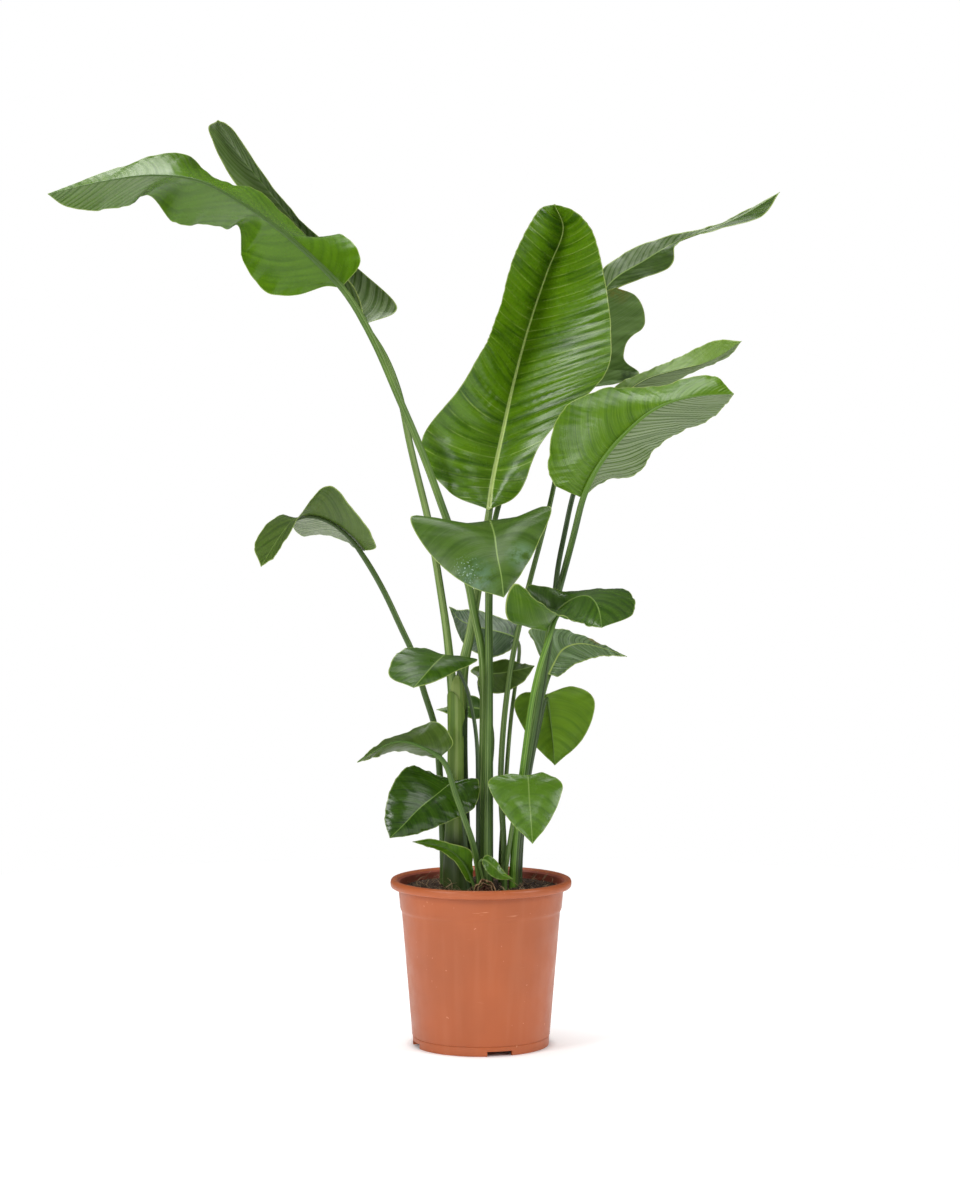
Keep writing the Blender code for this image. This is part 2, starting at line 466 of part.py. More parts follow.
def make_pot():
    body_foot = BASE_RADIUS + 0.0008
    inside_foot = body_foot - WALL
    profile = (
        (0.0, 0.0),
        (BOSS_RADIUS, 0.0),
        (BOSS_RADIUS + 0.005, FLOOR_HEIGHT),
        (BASE_RADIUS - 0.0075, FLOOR_HEIGHT),
        (BASE_RADIUS - 0.0060, 0.0),
        (BASE_RADIUS - 0.0006, 0.0),
        (BASE_RADIUS, 0.0010),
        (BASE_RADIUS, 0.0120),
        (body_foot, 0.0128),
        (BODY_RADIUS, COLLAR_BOTTOM - 0.001),
        (COLLAR_RADIUS - 0.0025, COLLAR_BOTTOM + 0.002),
        (COLLAR_RADIUS, 0.2085),
        (RIM_RADIUS - 0.0025, 0.2100),
        (RIM_RADIUS - 0.0003, 0.2120),
        (RIM_RADIUS, 0.2155),
        (RIM_RADIUS - 0.0006, 0.2190),
        (RIM_RADIUS - 0.0025, POT_HEIGHT - 0.0003),
        (RIM_RADIUS - 0.0045, POT_HEIGHT),
        (RIM_RADIUS - 0.0080, POT_HEIGHT - 0.0010),
        (COLLAR_RADIUS - WALL, POT_HEIGHT - 0.0040),
        (COLLAR_RADIUS - 0.0025 - WALL, COLLAR_BOTTOM + 0.002),
        (BODY_RADIUS - WALL, COLLAR_BOTTOM - 0.001),
        (inside_foot, FLOOR_HEIGHT + 0.003),
        (inside_foot - 0.003, FLOOR_HEIGHT + WALL),
        (0.0, FLOOR_HEIGHT + WALL),
    )
    pot = spin_profile("pot", profile, POT_SEGMENTS, TERRACOTTA)
    cut = pot.modifiers.new("notches", "BOOLEAN")
    cut.operation = "DIFFERENCE"
    cut.solver = "EXACT"
    cut.object = make_notch_cutter(TERRACOTTA)
    return pot


def make_soil():
    """The compost that fills the pot, a hair clear of its wall and floor."""
    foot = BASE_RADIUS + 0.0008 - WALL
    bottom = FLOOR_HEIGHT + WALL + GAP
    collar_share = (SOIL_TOP - COLLAR_BOTTOM - 0.002) / (POT_HEIGHT - 0.004 - COLLAR_BOTTOM - 0.002)
    rise = 0.0025 * collar_share
    profile = (
        (0.0, bottom),
        (foot - 0.0035, bottom),
        (foot - 0.0006, bottom + 0.003),
        (BODY_RADIUS - WALL - 0.0005, COLLAR_BOTTOM - 0.001),
        (COLLAR_RADIUS - 0.0025 - WALL - 0.0005, COLLAR_BOTTOM + 0.002),
        (COLLAR_RADIUS - 0.0025 - WALL - 0.0006 + rise, SOIL_TOP),
        (0.0, SOIL_TOP),
    )
    return spin_profile("soil", profile, SOIL_SEGMENTS, SOIL_BROWN)


def make_husk():
    """A dry brown sheath end that stands on the soil in front of the stems."""
    sheet = bmesh.new()
    bmesh.ops.create_grid(sheet, x_segments=8, y_segments=3, size=1.0)
    for vertex in sheet.verts:
        turn = vertex.co.x * math.radians(HUSK_HALF_TURN)
        height = (vertex.co.y + 1.0) / 2.0
        radius = HUSK_FOOT_RADIUS + (HUSK_CREST_RADIUS - HUSK_FOOT_RADIUS) * height
        crest = HUSK_HEIGHT * height * (1.0 - 0.35 * vertex.co.x**2)
        x = HUSK_CENTER[0] + radius * math.sin(turn)
        y = HUSK_CENTER[1] - HUSK_DEPTH * math.cos(turn)
        vertex.co = (x, y, SOIL_TOP + GAP + crest)
    mesh = bpy.data.meshes.new("husk")
    sheet.to_mesh(mesh)
    sheet.free()
    husk = add_object("husk", mesh, HUSK_BROWN)
    solid = husk.modifiers.new("thickness", "SOLIDIFY")
    solid.thickness = HUSK_THICKNESS
    solid.offset = 0.0
    return husk


for old in list(bpy.data.objects):
    bpy.data.objects.remove(old, do_unlink=True)

LEAF_GREEN = material("leaf_green", (0.10, 0.22, 0.03), 0.35)
STALK_GREEN = material("stalk_green", (0.18, 0.32, 0.07), 0.40)
TERRACOTTA = material("terracotta_plastic", (0.52, 0.17, 0.07), 0.45)
SOIL_BROWN = material("soil_brown", (0.05, 0.03, 0.02), 0.95)
HUSK_BROWN = material("husk_brown", (0.33, 0.19, 0.09), 0.80)

make_pot()
make_soil()
make_husk()
trunk_line = [(*TRUNK_AXIS, z) for z in np.linspace(SOIL_TOP + GAP, TRUNK_TOP, TRUNK_RINGS)]
make_tube("left_trunk", trunk_line, TRUNK_RADII, STALK_GREEN, TRUNK_SIDES)
for title, shape in LEAVES.items():
    make_blade("blade_" + title, shape, LEAF_GREEN)
    rings = max(4, 2 + len(shape["stalk"]))
    make_tube("stalk_" + title, stalk_points(shape, rings), shape["radius"], STALK_GREEN, 1)
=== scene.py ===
"""Finish of a potted bird of paradise: broad veined leaves on long grooved stalks, the sheathed
stem, the nursery pot, its compost, and the studio they stand in.

Metres, +Z up, the plant's front towards -Y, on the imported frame.
"""

import math

import bmesh
import bpy
import numpy as np
from mathutils import Matrix, Vector, noise


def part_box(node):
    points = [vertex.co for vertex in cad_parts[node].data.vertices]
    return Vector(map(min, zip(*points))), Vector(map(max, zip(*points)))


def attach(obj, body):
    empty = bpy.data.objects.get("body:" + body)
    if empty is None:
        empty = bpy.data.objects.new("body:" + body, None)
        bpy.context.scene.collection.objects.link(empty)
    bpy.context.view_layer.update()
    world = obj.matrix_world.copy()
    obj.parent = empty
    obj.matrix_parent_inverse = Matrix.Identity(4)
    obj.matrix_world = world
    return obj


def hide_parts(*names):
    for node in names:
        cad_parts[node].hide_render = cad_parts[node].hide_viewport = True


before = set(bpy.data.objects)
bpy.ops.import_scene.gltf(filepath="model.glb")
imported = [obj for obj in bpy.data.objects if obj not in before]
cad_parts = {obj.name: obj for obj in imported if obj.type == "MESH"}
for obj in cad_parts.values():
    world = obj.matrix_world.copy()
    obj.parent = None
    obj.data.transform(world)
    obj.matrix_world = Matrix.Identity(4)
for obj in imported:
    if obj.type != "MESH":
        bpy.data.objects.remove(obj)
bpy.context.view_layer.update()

# Places read from the frame
POT_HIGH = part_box("pot")[1]
SOIL_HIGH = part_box("soil")[1]
TRUNK_LOW, TRUNK_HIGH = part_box("left_trunk")
HUSK_LOW, HUSK_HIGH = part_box("husk")
RIM_RADIUS = POT_HIGH.x
POT_HEIGHT = POT_HIGH.z
SOIL_RADIUS = SOIL_HIGH.x
SOIL_TOP = SOIL_HIGH.z
TRUNK_TOP = TRUNK_HIGH.z
TRUNK_CENTER = (TRUNK_LOW + TRUNK_HIGH) / 2.0
HUSK_CENTER = (HUSK_LOW + HUSK_HIGH) / 2.0
HUSK_HALF_WIDTH = (HUSK_HIGH.x - HUSK_LOW.x) / 2.0

FULL_TURN = 2 * math.pi

# Blades
BASE_HALF_WIDTH = 0.002
TIP_HALF_WIDTH = 0.001
BLADE_SHEET = 0.0006
CAD_SHEET = 0.0012
SEAT = 0.96
TANGENT_STEP = 0.02
MIDRIB_CROWDING = 1.25
MIDRIB_RISE = 0.0009
MIDRIB_SPREAD = 0.0034
VEIN_CURVE = 1.35
RIB_CREST = 0.72

# Stalks
GAP = 0.0003
FOOT_DEPTH = 0.006
FOOT_RISE = 0.012
SHEATHED = 0.045
STALK_SIDES = 20
STALK_POINTS = 400
KEEL_POINTS = 160
STALK_RING_GAP = 0.012
KEEL_RING_GAP = 0.006
KEEL_SINK = 0.72
KEEL_FLATNESS = 0.30
FLARE_REACH = 0.070
GROOVE_DEPTH = 0.20
GROOVE_WIDTH = 0.55

# Each leaf: stalk runs from its foot to just under the blade, midrib from the blade's base to its
# tip. left and right are the two margins beside each midrib point but the first and last, as
# seen on the upper side with the tip at the top. bow is how far the left half and the right one
# bulge to the upper side, as a share of their breadth. radius is the stalk's, at foot and end.
# left_at and right_at, where given, are the places of the margin's points along the midrib.
LEAVES = {
    "upper_left_outer": dict(
        stalk=[(-0.001, 0.004, SOIL_TOP + GAP), (0.001, 0.004, 0.300), (0.003, 0.003, 0.400),
               (0.0035, 0.001, 0.470), (0.002, -0.001, 0.516), (-0.0004, -0.003, 0.534),
               (-0.009, -0.007, 0.571), (-0.0162, -0.010, 0.612), (-0.030, -0.013, 0.655),
               (-0.046, -0.018, 0.700), (-0.075, -0.024, 0.780), (-0.109, -0.031, 0.860),
               (-0.142, -0.038, 0.935)],
        midrib=[(-0.180, -0.045, 0.998), (-0.202, -0.052, 1.021), (-0.231, -0.062, 1.048),
                (-0.265, -0.074, 1.076), (-0.307, -0.088, 1.104), (-0.360, -0.104, 1.131),
                (-0.419, -0.118, 1.137), (-0.484, -0.130, 1.127), (-0.5478, -0.140, 1.111)],
        left=[(-0.157, -0.015, 1.034), (-0.178, 0.005, 1.068), (-0.227, 0.015, 1.068),
              (-0.288, 0.010, 1.125), (-0.343, -0.020, 1.140), (-0.390, -0.070, 1.170),
              (-0.469, -0.105, 1.145)],
        right=[(-0.203, -0.035, 1.0005), (-0.232, -0.028, 0.991), (-0.260, -0.018, 0.9895),
               (-0.283, -0.012, 0.996), (-0.301, -0.010, 1.018), (-0.3115, -0.010, 1.040),
               (-0.3130, -0.010, 1.052), (-0.3140, -0.012, 1.068), (-0.333, -0.013, 1.0785),
               (-0.368, -0.018, 1.0825), (-0.397, -0.026, 1.083), (-0.407, -0.030, 1.0895),
               (-0.424, -0.034, 1.113), (-0.431, -0.038, 1.1185), (-0.449, -0.056, 1.1065),
               (-0.478, -0.078, 1.0975), (-0.505, -0.098, 1.0945), (-0.530, -0.118, 1.0985)],
        right_at=(0.5, 1.0, 1.6, 2.1, 2.6, 3.0, 3.25, 3.33, 3.8, 4.4, 4.9, 5.1, 5.25, 5.4, 5.9,
                  6.5, 7.0, 7.5),
        radius=(0.0058, 0.0045), bow=(0.05, 0.05)),
    "upper_left_inner": dict(
        stalk=[(-0.0405, 0.004, TRUNK_TOP + GAP), (-0.0455, 0.006, 0.550), (-0.053, 0.008, 0.600),
               (-0.061, 0.010, 0.650), (-0.0705, 0.011, 0.700), (-0.0855, 0.012, 0.760),
               (-0.096, 0.013, 0.805), (-0.107, 0.014, 0.860), (-0.130, 0.016, 0.918)],
        midrib=[(-0.153, 0.020, 0.952), (-0.174, 0.035, 0.987), (-0.206, 0.055, 1.031),
                (-0.248, 0.075, 1.089), (-0.290, 0.090, 1.141), (-0.326, 0.100, 1.186),
                (-0.354, 0.105, 1.231)],
        left=[(-0.171, 0.030, 1.005), (-0.222, 0.045, 1.045), (-0.276, 0.055, 1.094),
              (-0.328, 0.070, 1.144), (-0.364, 0.090, 1.213)],
        right=[(-0.112, 0.035, 0.975), (-0.162, 0.050, 1.026), (-0.226, 0.060, 1.079),
               (-0.273, 0.070, 1.132), (-0.332, 0.090, 1.215)],
        radius=(0.0055, 0.0040), bow=(-0.10, -0.10), seat=0.8, flare=0.0012),
    "center_large": dict(
        stalk=[(-0.0235, 0.008, TRUNK_TOP + GAP), (-0.0209, 0.008, 0.516), (-0.0163, 0.008, 0.534),
               (-0.0085, 0.008, 0.577), (-0.0043, 0.008, 0.603), (0.003, 0.005, 0.650),
               (0.007, -0.001, 0.680)],
        midrib=[(0.011, -0.012, 0.708), (0.016, 0.000, 0.747), (0.027, 0.012, 0.800),
                (0.043, 0.024, 0.876), (0.063, 0.030, 0.951), (0.087, 0.028, 1.022),
                (0.108, 0.012, 1.076), (0.096, -0.010, 1.109)],
        left=[(-0.045, -0.010, 0.735), (-0.077, -0.008, 0.803), (-0.028, -0.022, 0.868),
              (-0.005, -0.030, 0.906), (0.018, -0.036, 0.954), (0.044, -0.036, 1.030),
              (0.065, -0.032, 1.080), (0.079, -0.024, 1.103)],
        left_at=(1.0, 2.0, 2.6, 3.0, 4.0, 5.0, 5.9, 6.5),
        right=[(0.046, -0.025, 0.732), (0.084, -0.030, 0.805), (0.160, -0.036, 0.884),
               (0.169, -0.038, 0.944), (0.159, -0.038, 1.018), (0.141, -0.034, 1.078),
               (0.118, -0.024, 1.101)],
        right_at=(1.0, 2.0, 3.0, 4.0, 5.0, 6.0, 6.6),
        radius=(0.0066, 0.0048), bow=(0.06, 0.06), seat=0.4, flare=0.0022),
    "right_large": dict(
        stalk=[(0.044, -0.002, SOIL_TOP + GAP), (0.047, 0.000, 0.270), (0.058, 0.002, 0.355),
               (0.069, 0.000, 0.425), (0.078, -0.004, 0.480), (0.086, -0.010, 0.530),
               (0.094, -0.018, 0.570), (0.101, -0.028, 0.600), (0.111, -0.048, 0.640),
               (0.123, -0.074, 0.690)],
        midrib=[(0.131, -0.085, 0.725), (0.143, -0.092, 0.753), (0.162, -0.098, 0.783),
                (0.187, -0.100, 0.811), (0.216, -0.100, 0.836), (0.248, -0.098, 0.851),
                (0.285, -0.095, 0.858), (0.325, -0.090, 0.860)],
        left=[(0.162, -0.070, 0.748), (0.202, -0.060, 0.757), (0.227, -0.050, 0.790),
              (0.259, -0.050, 0.811), (0.294, -0.055, 0.826), (0.316, -0.070, 0.847)],
        right=[(0.096, -0.075, 0.743), (0.088, -0.065, 0.775), (0.104, -0.060, 0.837),
               (0.158, -0.060, 0.867), (0.222, -0.060, 0.869), (0.295, -0.065, 0.884)],
        radius=(0.0049, 0.0042), bow=(0.0, -0.10)),
    "upper_right_twisted": dict(
        stalk=[(0.031, -0.004, SOIL_TOP + GAP), (0.030, -0.004, 0.270), (0.026, -0.003, 0.350),
               (0.028, 0.000, 0.400), (0.035, 0.006, 0.470), (0.043, 0.014, 0.520),
               (0.052, 0.022, 0.560), (0.064, 0.030, 0.610), (0.079, 0.042, 0.665),
               (0.097, 0.058, 0.737), (0.108, 0.072, 0.800)],
        midrib=[(0.118, 0.084, 0.860), (0.128, 0.090, 0.905), (0.145, 0.096, 0.958),
                (0.175, 0.100, 1.012), (0.220, 0.104, 1.042), (0.262, 0.108, 1.067),
                (0.311, 0.114, 1.086), (0.357, 0.122, 1.107), (0.405, 0.130, 1.137)],
        left=[(0.098, 0.096, 0.890), (0.115, 0.104, 0.960), (0.160, 0.112, 1.026),
              (0.206, 0.118, 1.060), (0.259, 0.114, 1.078), (0.313, 0.118, 1.090),
              (0.359, 0.126, 1.112)],
        right=[(0.145, 0.084, 0.885), (0.165, 0.088, 0.948), (0.178, 0.092, 1.000),
               (0.252, 0.094, 1.032), (0.264, 0.100, 1.066), (0.309, 0.108, 1.082),
               (0.377, 0.116, 1.102)],
        radius=(0.0042, 0.0030), bow=(0.0, 0.0)),
    "right_back_curled": dict(
        stalk=[(0.012, 0.013, SOIL_TOP + GAP), (0.012, 0.015, 0.350), (0.012, 0.018, 0.500),
               (0.012, 0.020, 0.600), (0.017, 0.026, 0.690), (0.028, 0.034, 0.730)],
        midrib=[(0.042, 0.042, 0.775), (0.054, 0.050, 0.808), (0.072, 0.058, 0.848),
                (0.098, 0.062, 0.893), (0.125, 0.062, 0.935), (0.150, 0.060, 0.975),
                (0.180, 0.056, 1.004)],
        left=[(0.070, 0.040, 0.806), (0.125, 0.040, 0.862), (0.210, 0.046, 0.888),
              (0.190, 0.049, 0.913), (0.195, 0.050, 0.933), (0.214, 0.052, 0.948),
              (0.218, 0.052, 0.967), (0.206, 0.053, 0.993)],
        left_at=(1.0, 2.0, 3.0, 3.7, 4.0, 4.3, 4.75, 5.4),
        right=[(0.020, 0.050, 0.795), (0.030, 0.058, 0.860), (0.060, 0.062, 0.920),
               (0.095, 0.062, 0.965), (0.140, 0.060, 0.992)],
        seat=1.3, radius=(0.0045, 0.0035), bow=(0.0, 0.0)),
    "right_narrow": dict(
        stalk=[(0.047, 0.011, SOIL_TOP + GAP), (0.051, 0.013, 0.270), (0.062, 0.014, 0.355),
               (0.075, 0.013, 0.430), (0.086, 0.010, 0.500), (0.093, 0.008, 0.550),
               (0.097, 0.006, 0.590), (0.101, 0.006, 0.630), (0.111, 0.008, 0.680),
               (0.121, 0.010, 0.727)],
        midrib=[(0.140, 0.014, 0.782), (0.158, 0.016, 0.820), (0.183, 0.016, 0.855),
                (0.215, 0.014, 0.880), (0.256, 0.010, 0.893), (0.302, 0.006, 0.905),
                (0.343, 0.002, 0.931)],
        left=[(0.150, 0.030, 0.830), (0.178, 0.032, 0.872), (0.213, 0.030, 0.890),
              (0.258, 0.026, 0.909), (0.308, 0.020, 0.932)],
        right=[(0.172, 0.026, 0.808), (0.200, 0.028, 0.845), (0.240, 0.026, 0.868),
               (0.280, 0.022, 0.890), (0.325, 0.014, 0.910)],
        radius=(0.0042, 0.0032), bow=(0.0, 0.0)),
    "center_drooping": dict(
        stalk=[(0.009, -0.014, SOIL_TOP + GAP), (0.0095, -0.014, 0.350), (0.0100, -0.013, 0.500),
               (0.0098, -0.012, 0.590), (0.010, -0.014, 0.650)],
        midrib=[(0.012, -0.024, 0.692), (0.014, -0.045, 0.688), (0.018, -0.075, 0.674),
                (0.021, -0.102, 0.652), (0.026, -0.122, 0.627), (0.029, -0.132, 0.600)],
        left=[(0.050, -0.035, 0.699), (0.091, -0.060, 0.713), (0.074, -0.088, 0.668),
              (0.054, -0.110, 0.633)],
        right=[(-0.040, -0.038, 0.688), (-0.091, -0.064, 0.700), (-0.065, -0.092, 0.653),
               (-0.019, -0.115, 0.616)],
        radius=(0.0060, 0.0040), bow=(0.05, 0.05), seat=0.65),
    "right_middle_folded": dict(
        stalk=[(0.041, -0.015, SOIL_TOP + GAP), (0.044, -0.014, 0.270), (0.053, -0.014, 0.355),
               (0.060, -0.018, 0.410), (0.065, -0.024, 0.450), (0.075, -0.038, 0.500),
               (0.083, -0.052, 0.528)],
        midrib=[(0.091, -0.064, 0.551), (0.098, -0.064, 0.571), (0.116, -0.072, 0.591),
                (0.136, -0.100, 0.600), (0.148, -0.145, 0.590), (0.153, -0.170, 0.564)],
        left=[(0.063, -0.054, 0.608), (0.111, -0.048, 0.603), (0.187, -0.062, 0.606),
              (0.195, -0.110, 0.578)],
        right=[(0.037, -0.115, 0.571), (0.044, -0.155, 0.617), (0.086, -0.160, 0.586),
               (0.129, -0.165, 0.568)],
        radius=(0.0047, 0.0038), bow=(0.05, -0.22), seat=1.35),
    "back_center": dict(
        stalk=[(0.026, 0.040, SOIL_TOP + GAP), (0.034, 0.058, 0.350), (0.042, 0.075, 0.440),
               (0.049, 0.078, 0.490), (0.052, 0.068, 0.520)],
        midrib=[(0.050, 0.052, 0.533), (0.036, 0.056, 0.540), (0.015, 0.062, 0.546),
                (-0.010, 0.070, 0.552), (-0.029, 0.080, 0.560), (-0.043, 0.090, 0.577)],
        left=[(0.038, 0.040, 0.520), (0.015, 0.045, 0.511), (-0.012, 0.056, 0.519),
              (-0.028, 0.072, 0.535)],
        right=[(0.052, 0.065, 0.553), (0.020, 0.080, 0.564), (-0.008, 0.088, 0.573),
               (-0.028, 0.090, 0.572)],
        radius=(0.0035, 0.0025), bow=(0.0, 0.0), seat=0.8),
    "right_back_browned": dict(
        stalk=[(0.044, 0.023, SOIL_TOP + GAP), (0.048, 0.025, 0.270), (0.059, 0.026, 0.355),
               (0.075, 0.026, 0.430)],
        midrib=[(0.090, 0.034, 0.487), (0.098, 0.042, 0.503), (0.110, 0.050, 0.521),
                (0.133, 0.062, 0.528), (0.163, 0.070, 0.522), (0.197, 0.080, 0.510)],
        left=[(0.072, 0.045, 0.528), (0.066, 0.058, 0.548), (0.109, 0.082, 0.546),
              (0.153, 0.086, 0.531)],
        right=[(0.105, 0.028, 0.487), (0.122, 0.036, 0.500), (0.145, 0.050, 0.508),
               (0.167, 0.060, 0.512)],
        radius=(0.0042, 0.0032), bow=(0.0, 0.0)),
    "left_middle_drooping": dict(
        stalk=[(-0.004, -0.008, SOIL_TOP + GAP), (-0.004, -0.012, 0.350), (-0.005, -0.013, 0.400),
               (-0.012, -0.015, 0.450), (-0.024, -0.019, 0.490), (-0.036, -0.024, 0.509)],
        midrib=[(-0.048, -0.032, 0.516), (-0.052, -0.045, 0.515), (-0.062, -0.065, 0.508),
                (-0.073, -0.085, 0.497), (-0.087, -0.100, 0.482)],
        left=[(-0.005, -0.040, 0.513), (-0.030, -0.065, 0.501), (-0.061, -0.085, 0.488)],
        right=[(-0.084, -0.030, 0.528), (-0.110, -0.055, 0.522), (-0.119, -0.080, 0.496)],
        radius=(0.0032, 0.0025), bow=(0.05, 0.05)),
    "center_back_small": dict(
        stalk=[(0.010, 0.028, SOIL_TOP + GAP), (0.009, 0.030, 0.350), (0.008, 0.032, 0.420),
               (0.003, 0.037, 0.455)],
        midrib=[(-0.004, 0.046, 0.482), (0.010, 0.047, 0.487), (0.030, 0.048, 0.490),
                (0.050, 0.047, 0.494), (0.072, 0.045, 0.500)],
        left=[(-0.012, 0.056, 0.494), (0.030, 0.060, 0.507), (0.052, 0.058, 0.503)],
        right=[(0.000, 0.036, 0.470), (0.025, 0.036, 0.463), (0.055, 0.036, 0.478)],
        radius=(0.0032, 0.0025), bow=(0.0, 0.0)),
    "right_heart": dict(
        stalk=[(0.052, 0.035, SOIL_TOP + GAP), (0.057, 0.037, 0.300), (0.068, 0.037, 0.375),
               (0.079, 0.038, 0.425)],
        midrib=[(0.088, 0.050, 0.458), (0.090, 0.056, 0.449), (0.093, 0.056, 0.427),
                (0.096, 0.053, 0.400), (0.099, 0.046, 0.366)],
        left=[(0.056, 0.062, 0.461), (0.045, 0.062, 0.442), (0.068, 0.058, 0.397)],
        right=[(0.127, 0.062, 0.470), (0.153, 0.064, 0.450), (0.138, 0.058, 0.402)],
        seat=1.4, radius=(0.0035, 0.0028), bow=(0.05, 0.05)),
    "left_low_arching": dict(
        stalk=[(-0.001, -0.030, SOIL_TOP + GAP), (-0.004, -0.036, 0.240), (-0.010, -0.050, 0.272),
               (-0.020, -0.060, 0.303), (-0.034, -0.062, 0.341)],
        midrib=[(-0.052, -0.060, 0.387), (-0.061, -0.062, 0.393), (-0.077, -0.068, 0.402),
                (-0.098, -0.076, 0.410), (-0.122, -0.084, 0.407), (-0.160, -0.094, 0.385)],
        left=[(-0.036, -0.042, 0.406), (-0.059, -0.030, 0.431), (-0.091, -0.040, 0.421),
              (-0.128, -0.064, 0.409)],
        right=[(-0.065, -0.046, 0.386), (-0.086, -0.036, 0.390), (-0.109, -0.046, 0.395),
               (-0.135, -0.068, 0.390)],
        radius=(0.0044, 0.0036), bow=(0.0, 0.0)),
    "left_low_glossy": dict(
        stalk=[(-0.016, -0.022, SOIL_TOP + GAP), (-0.022, -0.021, 0.290), (-0.027, -0.020, 0.328)],
        midrib=[(-0.034, -0.026, 0.351), (-0.045, -0.034, 0.345), (-0.061, -0.046, 0.335),
                (-0.081, -0.056, 0.320), (-0.101, -0.064, 0.300), (-0.119, -0.068, 0.283)],
        left=[(-0.004, -0.026, 0.353), (-0.008, -0.034, 0.320), (-0.040, -0.046, 0.303),
              (-0.084, -0.058, 0.287)],
        right=[(-0.062, -0.024, 0.361), (-0.094, -0.030, 0.373), (-0.117, -0.044, 0.348),
               (-0.126, -0.056, 0.309)],
        radius=(0.0032, 0.0026), bow=(0.05, 0.05), seat=1.2),
    "right_low_heart": dict(
        stalk=[(0.031, -0.021, SOIL_TOP + GAP), (0.036, -0.023, 0.260), (0.045, -0.028, 0.313),
               (0.0545, -0.029, 0.346)],
        midrib=[(0.061, -0.036, 0.358), (0.062, -0.046, 0.351), (0.063, -0.060, 0.332),
                (0.065, -0.072, 0.307), (0.067, -0.080, 0.277)],
        left=[(0.084, -0.030, 0.362), (0.107, -0.044, 0.348), (0.091, -0.064, 0.307)],
        right=[(0.030, -0.034, 0.361), (0.009, -0.048, 0.351), (0.034, -0.066, 0.310)],
        radius=(0.0035, 0.0028), bow=(0.05, 0.05), seat=1.15),
    "base_left_small": dict(
        stalk=[(-0.009, -0.034, SOIL_TOP + GAP)],
        midrib=[(-0.010, -0.034, 0.217), (-0.016, -0.034, 0.234), (-0.027, -0.034, 0.251),
                (-0.045, -0.034, 0.265), (-0.068, -0.034, 0.271), (-0.090, -0.034, 0.274)],
        left=[(-0.011, -0.028, 0.240), (-0.014, -0.030, 0.262), (-0.040, -0.030, 0.271),
              (-0.066, -0.030, 0.277)],
        right=[(-0.020, -0.030, 0.224), (-0.033, -0.030, 0.245), (-0.053, -0.030, 0.261),
               (-0.070, -0.031, 0.267)],
        seat=1.3, radius=(0.0026, 0.0022), bow=(0.0, 0.0)),
    "base_center_small": dict(
        stalk=[(0.005, -0.043, SOIL_TOP + GAP)],
        midrib=[(0.002, -0.048, 0.252), (0.008, -0.050, 0.250), (0.018, -0.052, 0.242),
                (0.028, -0.053, 0.233), (0.043, -0.053, 0.227)],
        left=[(0.008, -0.046, 0.258), (0.019, -0.049, 0.252), (0.031, -0.050, 0.236)],
        right=[(0.003, -0.050, 0.244), (0.010, -0.054, 0.234), (0.023, -0.054, 0.227)],
        seat=1.55, radius=(0.0028, 0.0022), bow=(0.0, 0.0)),
    "left_arching": dict(
        stalk=[(-0.050, 0.034, SOIL_TOP + GAP), (-0.052, 0.030, 0.300), (-0.055, 0.026, 0.360),
               (-0.058, 0.022, 0.400), (-0.063, 0.020, 0.430), (-0.070, 0.018, 0.450),
               (-0.078, 0.016, 0.475), (-0.090, 0.012, 0.520), (-0.102, 0.008, 0.545),
               (-0.128, 0.000, 0.602)],
        midrib=[(-0.157, -0.010, 0.652), (-0.172, -0.015, 0.672), (-0.195, -0.022, 0.691),
                (-0.221, -0.032, 0.701), (-0.244, -0.045, 0.696), (-0.263, -0.060, 0.673),
                (-0.285, -0.075, 0.637)],
        left=[(-0.139, -0.030, 0.662), (-0.164, -0.050, 0.706), (-0.200, -0.070, 0.741),
              (-0.239, -0.085, 0.694), (-0.264, -0.085, 0.654)],
        right=[(-0.168, 0.010, 0.657), (-0.201, 0.030, 0.673), (-0.240, 0.030, 0.675),
               (-0.264, 0.000, 0.703), (-0.295, -0.040, 0.668)],
        radius=(0.0050, 0.0038), bow=(0.0, 0.0)),
    "back_low": dict(
        stalk=[(0.004, 0.042, SOIL_TOP + GAP), (0.012, 0.048, 0.350), (0.014, 0.050, 0.420)],
        midrib=[(0.008, 0.053, 0.438), (-0.004, 0.055, 0.441), (-0.020, 0.057, 0.443),
                (-0.038, 0.058, 0.441), (-0.060, 0.058, 0.440)],
        left=[(-0.002, 0.048, 0.428), (-0.020, 0.048, 0.430), (-0.040, 0.052, 0.434)],
        right=[(-0.004, 0.064, 0.455), (-0.020, 0.066, 0.457), (-0.040, 0.064, 0.446)],
        radius=(0.0030, 0.0024), bow=(0.0, 0.0)),
}

